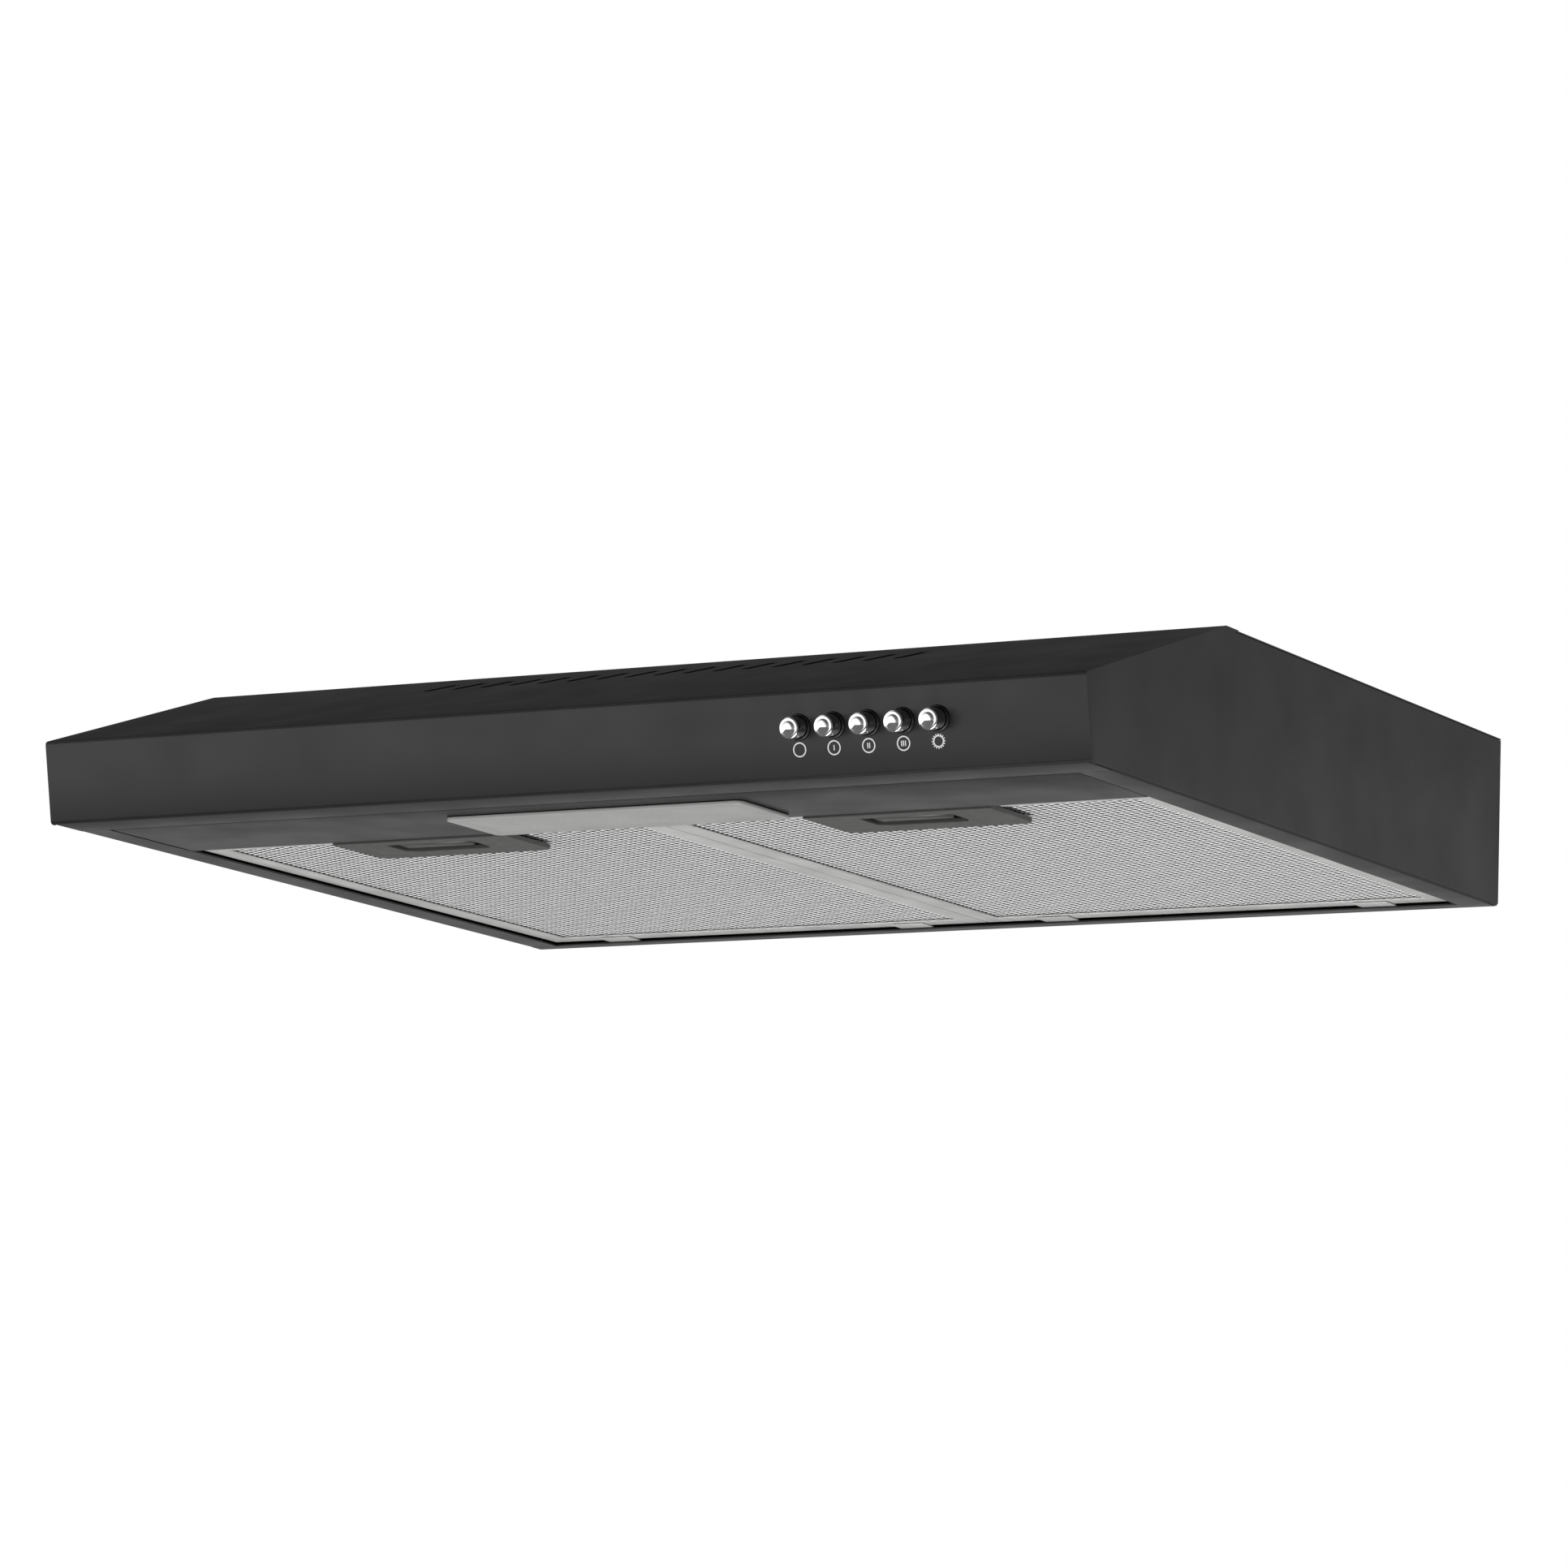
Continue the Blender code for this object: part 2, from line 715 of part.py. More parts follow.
def make_light_plate():
    reach = SIDE_RIM_EDGE - PLATE_CLEARANCE
    front, rear = FRONT_Y + PLATE_FRONT, FRONT_Y + PLATE_REAR
    top = BOTTOM_Z + PLATE_FLANGE
    plate = box("light_plate", (-reach, front, BOTTOM_Z), (reach, rear, top))
    bevel_edges(plate, lambda point: point.z < BOTTOM_Z + 1e-5, PLATE_BEND)
    cut(
        plate,
        box(
            "plate_cavity",
            (-reach + SHEET, front + SHEET, BOTTOM_Z + SHEET),
            (reach - SHEET, rear - SHEET, top + REACH),
        ),
    )
    opening = LENS_WIDTH / 2 - LAMP_OPENING_MARGIN
    start = FRONT_Y + LENS_SETBACK + LAMP_OPENING_MARGIN
    end = FRONT_Y + LENS_SETBACK + LENS_DEPTH - LAMP_OPENING_MARGIN
    cut(plate, box("lamp_opening", (-opening, start, BOTTOM_Z - REACH), (opening, end, BOTTOM_Z + REACH)))
    for side in (-1, 1):
        cut(plate, tongue_slot(side, rear - SHEET * 2, rear + SHEET))
    return plate


def make_lamp_lens():
    """A shallow tray, open above, with a raised border below."""
    half = LENS_WIDTH / 2
    front = FRONT_Y + LENS_SETBACK
    rear = front + LENS_DEPTH
    low = LENS_Z - LENS_THICKNESS
    outline = rounded(rectangle(-half, front, half, rear), [LENS_CORNER] * 4)
    lens = prism("lamp_lens", outline, low, LENS_Z)
    skin = LENS_SKIN
    hollow = rounded(
        rectangle(-half + skin, front + skin, half - skin, rear - skin), [LENS_CORNER - skin] * 4
    )
    cut(lens, prism("lens_hollow", hollow, low + skin, LENS_Z + REACH))
    edge = LENS_BORDER
    panel = rounded(
        rectangle(-half + edge, front + edge, half - edge, rear - edge), [LENS_CORNER / 2] * 4
    )
    cut(lens, prism("lens_panel", panel, low - REACH, low + skin / 3))
    hinge = pivot("lens_hinge", (0, front, LENS_Z))
    parent_to(hinge, lens)
    return lens


def make_lamp():
    """Reflector trough, candle lamp with its screw cap, and the socket, lying along X."""
    low = BOTTOM_Z + SHEET + GAP
    high = low + REFLECTOR_HEIGHT
    half = LENS_WIDTH / 2 - REFLECTOR_INSET
    front = FRONT_Y + LENS_SETBACK + REFLECTOR_INSET
    rear = FRONT_Y + LENS_SETBACK + LENS_DEPTH - REFLECTOR_INSET
    slant = REFLECTOR_SLANT
    outline = [
        (front, low),
        (rear, low),
        (rear, high - slant),
        (rear - slant, high),
        (front + slant, high),
        (front, high - slant),
    ]
    reflector = prism("lamp_reflector", outline, -half, half, "X")
    inner = inset(outline, (-REACH, *[SHEET] * 5))
    cut(reflector, prism("reflector_cavity", inner, -half + SHEET, half - SHEET, "X"))
    y = (front + rear) / 2
    z = low + BULB_RISE
    socket_end = half - SHEET - GAP
    mouth = socket_end - SOCKET_LENGTH
    socket = cylinder("lamp_socket", SOCKET_RADIUS, (mouth, y, z), (socket_end, y, z))
    bore = BULB_CAP_RADIUS + GAP
    cut(
        socket,
        cylinder("socket_bore", bore, (mouth - REACH, y, z), (mouth + BULB_CAP_LENGTH + GAP, y, z)),
    )
    cap_start = mouth - SOCKET_GAP
    cap_end = cap_start + BULB_CAP_LENGTH
    cap = cylinder("lamp_cap", BULB_CAP_RADIUS, (cap_start, y, z), (cap_end, y, z))
    neck = BULB_CAP_RADIUS
    belly = BULB_RADIUS
    length = BULB_LENGTH
    profile = [(0, length)]
    for step in range(1, 5):
        angle = pi / 2 * step / 4
        profile.append((belly * sin(angle), length - belly * (1 - cos(angle))))
    profile += [(belly, length * 0.28), (neck, length * 0.06), (neck, 0), (0, 0)]
    frame = Matrix.Translation((cap_start - GAP, y, z)) @ Matrix.Rotation(-pi / 2, 4, "Y")
    bulb = turned("lamp_bulb", profile, frame)
    return reflector, socket, cap, bulb


# ---------------------------------------------------------------- push buttons


def collar_radius():
    return BUTTON_RADIUS + BUTTON_CLEARANCE + COLLAR_WALL


def button_x(i):
    return BUTTON_FIRST_X + i * BUTTON_PITCH


def make_switch_housing():
    """The block behind the fascia, with a round collar through it for each button."""
    back = SHEET + GAP
    last = (len(BUTTON_NAMES) - 1) * BUTTON_PITCH
    frame = fascia_frame(BUTTON_FIRST_X, BUTTON_RISE)
    housing = box(
        "switch_housing",
        (-BANK_END, -BANK_HALF_HEIGHT, back),
        (last + BANK_END, BANK_HALF_HEIGHT, BANK_DEPTH),
    )
    place_in(frame, housing)
    for i in range(len(BUTTON_NAMES)):
        x = i * BUTTON_PITCH
        collar = cylinder(
            "collar", collar_radius(), (x, 0, -COLLAR_PROUD), (x, 0, back + COLLAR_ROOT)
        )
        place_in(frame, collar)
        join(housing, collar)
    for i in range(len(BUTTON_NAMES)):
        x = i * BUTTON_PITCH
        radius = BUTTON_RADIUS + BUTTON_CLEARANCE
        pocket = cylinder("pocket", radius, (x, 0, -REACH), (x, 0, BANK_DEPTH - BANK_BACK))
        place_in(frame, pocket)
        cut(housing, pocket)
    return housing


def make_button(i):
    """A domed cap on a guide stem. Its own +Z points into the hood, along its travel."""
    radius, proud = BUTTON_RADIUS, BUTTON_PROUD
    seat = BUTTON_INSIDE
    profile = [
        (0, seat + BUTTON_STEM_LENGTH),
        (BUTTON_STEM_RADIUS, seat + BUTTON_STEM_LENGTH),
        (BUTTON_STEM_RADIUS, seat),
        (radius, seat),
        (radius, BUTTON_EDGE - proud),
        (radius - BUTTON_EDGE * 0.29, BUTTON_EDGE * 0.29 - proud),
        (radius - BUTTON_EDGE, BUTTON_DOME - proud),
        (radius / 2, BUTTON_DOME / 4 - proud),
        (0, -proud),
    ]
    return turned(BUTTON_NAMES[i], profile, fascia_frame(button_x(i), BUTTON_RISE))


def make_button_spring(i):
    start = BUTTON_INSIDE + GAP
    length = BANK_DEPTH - BANK_BACK - GAP - start
    frame = fascia_frame(button_x(i), BUTTON_RISE) @ Matrix.Translation((0, 0, start))
    return spring(BUTTON_NAMES[i] + "_spring", frame, length)


# ---------------------------------------------------------------- grease filters


def filter_box(side):
    """The lowest and highest corner of a filter's frame."""
    low_x, high_x = mirrored_span(side, FILTER_SIDE_GAP / 2, SIDE_RIM_EDGE - FILTER_SIDE_GAP)
    low_y = FRONT_Y + PLATE_REAR + FILTER_FRONT_GAP
    high_y = WALL_Y - REAR_RIM - FILTER_REAR_GAP
    low_z = BOTTOM_Z + FILTER_RAISE
    return (low_x, low_y, low_z), (high_x, high_y, low_z + FILTER_HEIGHT)


def grown(corners, margin):
    """A box's corners moved out by the margin along X, Y and Z; a negative margin shrinks it."""
    low, high = corners
    return (
        tuple(low[i] - margin[i] for i in range(3)),
        tuple(high[i] + margin[i] for i in range(3)),
    )


def filter_centre(side):
    low, high = filter_box(side)
    return (low[0] + high[0]) / 2


def latch_z():
    """The underside of the latch slider."""
    return BOTTOM_Z + HANDLE_LIFT + HANDLE_THICKNESS + GAP


def tongue_slot(side, start, end):
    """A cutter round the latch's tongue, with clearance, from start to end along Y."""
    x = filter_centre(side)
    half = TONGUE_WIDTH / 2 + SLOT_CLEARANCE
    low = latch_z() + LATCH_THICKNESS - TONGUE_OVERLAP - SLOT_CLEARANCE
    high = low + TONGUE_THICKNESS + 2 * SLOT_CLEARANCE
    return box("tongue_slot", (x - half, start, low), (x + half, end, high))


def handle_cutout(side, low_z, high_z):
    """A cutter round the handle's pocket, with a gap."""
    x = filter_centre(side)
    front = filter_box(side)[0][1] + POCKET_FRONT
    half = POCKET_HALF + GAP
    return box(
        "handle_cutout",
        (x - half, front - GAP, low_z),
        (x + half, front + POCKET_DEPTH + GAP, high_z),
    )


def make_filter_frame(name, side):
    """A ring of channel section, open inwards, notched for the handle."""
    corners = filter_box(side)
    low, high = corners
    frame = box(name, low, high)
    wall, flange, border = -FILTER_WALL, -FILTER_FLANGE, -FILTER_BORDER
    cut(frame, box("channel", *grown(corners, (wall, wall, flange))))
    cut(frame, box("opening", *grown(corners, (border, border, REACH))))
    cut(frame, handle_cutout(side, low[2] - REACH, low[2] + 2 * FILTER_FLANGE))
    cut(frame, tongue_slot(side, low[1] - REACH, low[1] + 2 * FILTER_WALL))
    return frame


def make_filter_mesh(name, side):
    """The expanded-metal pad, a plain slab resting on the lower flange."""
    low, high = filter_box(side)
    edge = FILTER_WALL + GAP
    bottom = low[2] + FILTER_FLANGE + GAP
    top = bottom + PAD_THICKNESS
    pad = box(name, (low[0] + edge, low[1] + edge, bottom), (high[0] - edge, high[1] - edge, top))
    cut(pad, handle_cutout(side, bottom - REACH, top + REACH))
    x = filter_centre(side)
    half = TONGUE_WIDTH / 2 + SLOT_CLEARANCE
    cut(
        pad,
        box(
            "tongue_gap",
            (x - half, low[1] - REACH, bottom - REACH),
            (x + half, low[1] + POCKET_FRONT + POCKET_WALL, top + REACH),
        ),
    )
    return pad


def make_filter_handle(name, side):
    """A flat bezel under the filter with a closed pocket above its finger recess."""
    x = filter_centre(side)
    front = filter_box(side)[0][1]
    low = BOTTOM_Z + HANDLE_LIFT
    plate_top = low + HANDLE_THICKNESS
    half = HANDLE_WIDTH / 2
    outline = rectangle(x - half, front, x + half, front + HANDLE_DEPTH)
    outline = rounded(outline, (0, 0, HANDLE_CORNER, HANDLE_CORNER))
    handle = prism(name, outline, low, plate_top)
    pocket_top = BOTTOM_Z + FILTER_RAISE + FILTER_HEIGHT - FILTER_FLANGE - POCKET_HEADROOM
    start = front + POCKET_FRONT
    corners = (
        (x - POCKET_HALF, start, plate_top - HANDLE_THICKNESS / 2),
        (x + POCKET_HALF, start + POCKET_DEPTH, pocket_top),
    )
    join(handle, box("pocket_walls", *corners))
    wall = POCKET_WALL
    cut(
        handle,
        box(
            "pocket_space",
            (x - POCKET_HALF + wall, start + wall, plate_top),
            (x + POCKET_HALF - wall, start + POCKET_DEPTH - wall, pocket_top - wall),
        ),
    )
    half = RECESS_WIDTH / 2
    recess_start = front + RECESS_SETBACK
    recess = rectangle(x - half, recess_start, x + half, recess_start + RECESS_DEPTH)
    recess = rounded(recess, (0, 0, RECESS_CORNER, RECESS_CORNER))
    cut(handle, prism("recess", recess, low - REACH, plate_top + wall))
    cut(handle, tongue_slot(side, start - REACH, start + 2 * wall))
    return handle


def make_filter_latch(name, side):
    """A slider with a finger bar in the recess and a tongue into the light plate's rear flange."""
    x = filter_centre(side)
    front = filter_box(side)[0][1]
    low = latch_z()
    top = low + LATCH_THICKNESS
    half = LATCH_WIDTH / 2
    start = front + LATCH_SETBACK
    latch = box(name, (x - half, start, low), (x + half, start + LATCH_DEPTH, top))
    bar_start = start + FINGER_BAR_INSET
    bar_half = half - FINGER_BAR_INSET
    join(
        latch,
        box(
            "finger_bar",
            (x - bar_half, bar_start, BOTTOM_Z + FINGER_BAR_LIFT),
            (x + bar_half, bar_start + FINGER_BAR_DEPTH, low + LATCH_THICKNESS / 2),
        ),
    )
    half = TONGUE_WIDTH / 2
    tongue_low = top - TONGUE_OVERLAP
    join(
        latch,
        box(
            "tongue",
            (x - half, FRONT_Y + PLATE_REAR - TONGUE_REACH, tongue_low),
            (x + half, start + LATCH_DEPTH / 2, tongue_low + TONGUE_THICKNESS),
        ),
    )
    return latch


def make_latch_spring(name, side):
    front = filter_box(side)[0][1]
    start = front + LATCH_SETBACK + LATCH_DEPTH + GAP
    end = front + POCKET_FRONT + POCKET_DEPTH - POCKET_WALL - GAP
    z = latch_z() + LATCH_SPRING_RISE
    frame = Matrix.Translation((filter_centre(side), start, z)) @ Matrix.Rotation(-pi / 2, 4, "X")
    return spring(name, frame, end - start, LATCH_SPRING_RADIUS)


def make_filter_tab(name, side, end):
    """A thin tongue under the frame's rear flange that rests on the rear rim."""
    low, high = filter_box(side)
    x = low[0] + TAB_INSET if end == 1 else high[0] - TAB_INSET
    rear = WALL_Y - REAR_RIM + TAB_OVERHANG
    bottom = BOTTOM_Z + SHEET + GAP
    half = TAB_WIDTH / 2
    return box(
        name,
        (x - half, rear - TAB_LENGTH, bottom),
        (x + half, rear, bottom + TAB_THICKNESS),
    )


def make_filter(word, side):
    """One grease filter with its handle, latch and rear tabs, hung on a pivot empty."""
    hinge = pivot(word + "_filter_hinge", (0, WALL_Y - REAR_RIM, BOTTOM_Z + SHEET))
    metal = [make_filter_frame(word + "_filter_frame", side)]
    metal += [make_filter_tab(f"{word}_filter_tab_{n}", side, n) for n in (1, 2)]
    mesh = make_filter_mesh(word + "_filter_mesh", side)
    handle = make_filter_handle(word + "_filter_handle", side)
    latch = make_filter_latch(word + "_filter_latch", side)
    coil = make_latch_spring(word + "_latch_spring", side)
    parent_to(hinge, *metal, mesh, handle, latch, coil)
    return metal, mesh, handle, latch, coil


# ---------------------------------------------------------------- duct collar and flaps


def make_duct_collar():
    """The outlet spigot, held by a flange under the top, with a ledge for the flaps."""
    radius = DUCT_RADIUS
    wall = radius - COLLAR_THICKNESS
    seat = -(SHEET + GAP)
    foot = seat - COLLAR_THICKNESS
    ledge = PIN_HEIGHT - KNUCKLE_RADIUS - GAP
    profile = [
        (radius, COLLAR_HEIGHT),
        (radius, seat),
        (radius + COLLAR_FLANGE, seat),
        (radius + COLLAR_FLANGE, foot),
        (wall - LEDGE, foot),
        (wall - LEDGE, ledge),
        (wall, ledge),
        (wall, COLLAR_HEIGHT),
    ]
    frame = Matrix.Translation((0, DUCT_Y, 0))
    collar = turned("duct_collar", profile, frame, LARGE_ROUND, ring=True)
    start, end = (0, DUCT_Y - radius - REACH, PIN_HEIGHT), (0, DUCT_Y + radius + REACH, PIN_HEIGHT)
    cut(collar, cylinder("pin_hole", PIN_RADIUS + GAP, start, end, ROUND // 2))
    return collar


def make_flap(name, side):
    """Half a disc under the pin, with two knuckles round the pin."""
    inner = side * (KNUCKLE_RADIUS + FLAP_EDGE)
    reach = DUCT_RADIUS - COLLAR_THICKNESS - FLAP_CLEARANCE
    low = PIN_HEIGHT - KNUCKLE_RADIUS
    edge_angle = radians(90) - abs(inner) / reach
    outline = [
        (side * reach * cos(angle), DUCT_Y + reach * sin(angle))
        for angle in (edge_angle * step / 8 for step in range(-8, 9))
    ]
    flap = prism(name, outline, low, low + FLAP_THICKNESS)
    shift = KNUCKLE_LENGTH / 2 + GAP
    centres = [DUCT_Y + y + side * shift for y in (-KNUCKLE_SPACING, KNUCKLE_SPACING)]
    half = KNUCKLE_LENGTH / 2
    for y in centres:
        knuckle = cylinder(
            "knuckle", KNUCKLE_RADIUS, (0, y - half, PIN_HEIGHT), (0, y + half, PIN_HEIGHT), ROUND // 2
        )
        join(flap, knuckle)
        near, far = sorted((side * PIN_RADIUS, inner + side * FLAP_EDGE * 4))
        web_low = low + FLAP_THICKNESS * 0.1
        web_high = low + FLAP_THICKNESS * 0.9
        join(flap, box("web", (near, y - half * 0.9, web_low), (far, y + half * 0.9, web_high)))
    start, end = (0, DUCT_Y - reach, PIN_HEIGHT), (0, DUCT_Y + reach, PIN_HEIGHT)
    cut(flap, cylinder("knuckle_bore", PIN_RADIUS + RUNNING_GAP, start, end, ROUND // 2))
    set_origin(flap, (0, DUCT_Y, PIN_HEIGHT))
    return flap


def make_flap_pin():
    reach = DUCT_RADIUS - GAP
    start, end = (0, DUCT_Y - reach, PIN_HEIGHT), (0, DUCT_Y + reach, PIN_HEIGHT)
    return cylinder("flap_pin", PIN_RADIUS, start, end, ROUND // 2)


# ---------------------------------------------------------------- blower


def scroll_radius(angle):
    share = (SCROLL_TONGUE - angle) / (SCROLL_TONGUE + 1.5 * pi)
    return SCROLL_START + (SCROLL_END - SCROLL_START) * share


def scroll_arc(offset, first, last):
    """Points round the fan's axis at the scroll's radius plus the offset."""
    count = max(2, round(abs(last - first) / SCROLL_STEP))
    angles = [first + (last - first) * i / count for i in range(count + 1)]
    return [
        (
            FAN_X + (scroll_radius(a) + offset) * cos(a),
            FAN_Y + (scroll_radius(a) + offset) * sin(a),
        )
        for a in angles
    ]


def angle_at(y, offset):
    """The angle near zero at which the scroll, grown by the offset, is at this Y."""
    return (y - FAN_Y) / (scroll_radius(0) + offset)


def outlet_box():
    """The outlet's right, rear and front walls, as X and two Y values."""
    right = DUCT_RADIUS + OUTLET_MARGIN
    return right, DUCT_Y - DUCT_RADIUS - OUTLET_MARGIN, FAN_Y + SCROLL_END


def scroll_outline():
    right, front, rear = outlet_box()
    start = angle_at(front - SHEET, SHEET)
    arc = scroll_arc(SHEET, start, -1.5 * pi)
    return [*arc, (right + SHEET, rear + SHEET), (right + SHEET, front - SHEET)]


def scroll_space():
    """The air space: the scroll, the outlet under the duct, and the tongue between them."""
    right, front, rear = outlet_box()
    arc = scroll_arc(0, SCROLL_TONGUE, -1.5 * pi)
    back = scroll_arc(TONGUE_WALL, angle_at(front, TONGUE_WALL), SCROLL_TONGUE)
    return [*arc, (right, rear), (right, front), *back]


def make_blower_tray():
    tray = prism("blower_tray", scroll_outline(), TRAY_BOTTOM, TRAY_TOP)
    cut(tray, prism("air_space", scroll_space(), TRAY_BOTTOM + SHEET, TRAY_TOP + REACH))
    low, high = TRAY_BOTTOM - REACH, TRAY_BOTTOM + REACH
    cut(tray, upright("inlet", FAN_X, FAN_Y, INLET_RADIUS, LARGE_ROUND, low, high))
    for x, y in bracket_screw_places():
        cut(tray, upright("tray_screw_hole", x, y, SCREW_RADIUS + GAP, ROUND // 2, low, high))
    return tray


def make_blower_lid():
    lid = prism("blower_lid", scroll_outline(), LID_TOP - SHEET, LID_TOP)
    radius = DUCT_RADIUS - COLLAR_THICKNESS - LEDGE
    cut(lid, upright("outlet", 0, DUCT_Y, radius, LARGE_ROUND))
    return lid


def make_inlet_ring():
    """The flared mouth on the tray's floor, inside the wheel's eye."""
    seat = TRAY_BOTTOM + SHEET + GAP
    inner = INLET_RADIUS
    profile = [
        (inner + INLET_WALL, seat + INLET_LIP),
        (inner + INLET_WALL, seat + 2 * INLET_WALL),
        (inner + 2 * INLET_WALL, seat + INLET_WALL),
        (inner + INLET_FLANGE, seat + INLET_WALL),
        (inner + INLET_FLANGE, seat),
        (inner, seat),
        (inner, seat + INLET_LIP),
    ]
    frame = Matrix.Translation((FAN_X, FAN_Y, 0))
    return turned("inlet_ring", profile, frame, LARGE_ROUND, ring=True)


def blade_outline(i):
    """A flat blade, leaning forwards from its inner edge to its outer edge."""
    angle = 2 * pi * i / BLADE_COUNT
    inner = WHEEL_RADIUS - BLADE_DEPTH
    outer = WHEEL_RADIUS - BLADE_EDGE
    lean = BLADE_LEAN * BLADE_DEPTH / WHEEL_RADIUS
    start = Vector((inner * cos(angle), inner * sin(angle)))
    end = Vector((outer * cos(angle - lean), outer * sin(angle - lean)))
    across = (end - start).orthogonal().normalized() * BLADE_THICKNESS / 2
    corners = (start - across, end - across, end + across, start + across)
    return [tuple(corner) for corner in corners]


def make_impeller():
    """The drum wheel: back plate with its hub, blades and front ring, all one moulding."""
    frame = Matrix.Translation((FAN_X, FAN_Y, 0))
    plate = WHEEL_TOP - WHEEL_PLATE
    bore = SHAFT_RADIUS + GAP
    profile = [
        (0, WHEEL_TOP),
        (WHEEL_RADIUS, WHEEL_TOP),
        (WHEEL_RADIUS, plate),
        (HUB_RADIUS, plate),
        (HUB_RADIUS, WHEEL_TOP - HUB_LENGTH),
        (bore, WHEEL_TOP - HUB_LENGTH),
        (bore, plate),
        (0, plate),
    ]
    wheel = turned("impeller", profile, frame, LARGE_ROUND)
    ring_top = WHEEL_BOTTOM + WHEEL_PLATE
    rim = [
        (WHEEL_RADIUS, ring_top),
        (WHEEL_RADIUS, WHEEL_BOTTOM),
        (WHEEL_RADIUS - RING_WIDTH, WHEEL_BOTTOM),
        (WHEEL_RADIUS - RING_WIDTH, ring_top),
    ]
    blades = [blade_outline(i) for i in range(BLADE_COUNT)]
    low = WHEEL_BOTTOM + WHEEL_PLATE / 2
    high = WHEEL_TOP - WHEEL_PLATE / 2
    drum = prism("blades", blades[0], low, high, holes=blades[1:])
    place_in(frame, drum)
    join(wheel, drum, turned("rim", rim, frame, LARGE_ROUND, ring=True))
    return wheel


# ---------------------------------------------------------------- motor


def bracket_screw_places():
    return [
        (
            FAN_X + BRACKET_SCREW_CIRCLE * cos(pi / 2 + 2 * pi * i / 3),
            FAN_Y + BRACKET_SCREW_CIRCLE * sin(pi / 2 + 2 * pi * i / 3),
        )
        for i in range(3)
    ]


def bracket_outline():
    """A disc with three arms across the inlet."""
    disc = MOTOR_RADIUS - BRACKET_INSET
    half = BRACKET_ARM_WIDTH / 2
    spread = half / disc
    points = []
    for i in range(3):
        arm = pi / 2 + 2 * pi * i / 3
        ahead = Vector((cos(arm), sin(arm)))
        across = Vector((-sin(arm), cos(arm)))
        points += [tuple(ahead * BRACKET_REACH - across * half)]
        points += [tuple(ahead * BRACKET_REACH + across * half)]
        for step in range(7):
            angle = arm + spread + (2 * pi / 3 - 2 * spread) * step / 6
            points.append((disc * cos(angle), disc * sin(angle)))
    return [(FAN_X + x, FAN_Y + y) for x, y in points]


def make_motor_bracket():
    top = TRAY_BOTTOM - GAP
    bracket = prism("motor_bracket", bracket_outline(), top - BRACKET_THICKNESS, top)
    for x, y in bracket_screw_places():
        low, high = top - REACH, top + REACH
        cut(bracket, upright("arm_screw_hole", x, y, SCREW_RADIUS + GAP, ROUND // 2, low, high))
    return bracket


def make_bracket_screw(i):
    x, y = bracket_screw_places()[i]
    seat = TRAY_BOTTOM - 2 * GAP - BRACKET_THICKNESS
    profile = [
        (0, seat + SCREW_LENGTH),
        (SCREW_RADIUS, seat + SCREW_LENGTH),
        (SCREW_RADIUS, seat),
        (SCREW_HEAD_RADIUS, seat),
        (SCREW_HEAD_RADIUS, seat - SCREW_HEAD_HEIGHT / 2),
        (SCREW_HEAD_RADIUS * 0.6, seat - SCREW_HEAD_HEIGHT),
        (0, seat - SCREW_HEAD_HEIGHT),
    ]
    frame = Matrix.Translation((x, y, 0))
    return turned(f"bracket_screw_{i + 1}", profile, frame, ROUND // 2)


def make_motor():
    """Can, end shield, stator, rotor, shaft and two bearings, upright in the wheel's eye."""
    frame = Matrix.Translation((FAN_X, FAN_Y, 0))
    inside = MOTOR_RADIUS - MOTOR_WALL
    floor = TRAY_BOTTOM + MOTOR_WALL
    can = [
        (0, floor),
        (inside, floor),
        (inside, MOTOR_TOP),
        (MOTOR_RADIUS, MOTOR_TOP),
        (MOTOR_RADIUS, TRAY_BOTTOM),
        (0, TRAY_BOTTOM),
    ]
    bore = SHAFT_RADIUS + GAP
    shield = MOTOR_TOP - SHIELD_THICKNESS
    cap = [
        (BOSS_RADIUS, MOTOR_TOP + BOSS_HEIGHT),
        (BOSS_RADIUS, MOTOR_TOP),
        (inside - GAP, MOTOR_TOP),
        (inside - GAP, shield),
        (bore, shield),
        (bore, MOTOR_TOP + BOSS_HEIGHT),
    ]
    rotor_low = floor + GAP + BEARING_HEIGHT + BEARING_GAP
    rotor_high = rotor_low + ROTOR_HEIGHT
    middle = (rotor_low + rotor_high) / 2
    pieces = [
        turned("motor_can", can, frame),
        turned("motor_end_shield", cap, frame, ring=True),
        tube("motor_rotor", bore, ROTOR_RADIUS, rotor_low, rotor_high),
        tube(
            "motor_stator",
            ROTOR_RADIUS + AIR_GAP,
            inside - GAP,
            middle - STATOR_HEIGHT / 2,
            middle + STATOR_HEIGHT / 2,
        ),
        tube("lower_bearing", bore, HUB_RADIUS, floor + GAP, floor + GAP + BEARING_HEIGHT),
        tube("upper_bearing", bore, HUB_RADIUS, shield - GAP - BEARING_HEIGHT, shield - GAP),
    ]
    start, end = floor + 2 * GAP, WHEEL_TOP - WHEEL_PLATE - GAP
    pieces.append(upright("motor_shaft", FAN_X, FAN_Y, SHAFT_RADIUS, ROUND, start, end))
    return pieces


def tube(name, inner, outer, low, high):
    profile = [(outer, high), (outer, low), (inner, low), (inner, high)]
    return turned(name, profile, Matrix.Translation((FAN_X, FAN_Y, 0)), ring=True)


# ---------------------------------------------------------------- electrical parts


def terminal_y():
    return WALL_Y - TERMINAL_TO_WALL


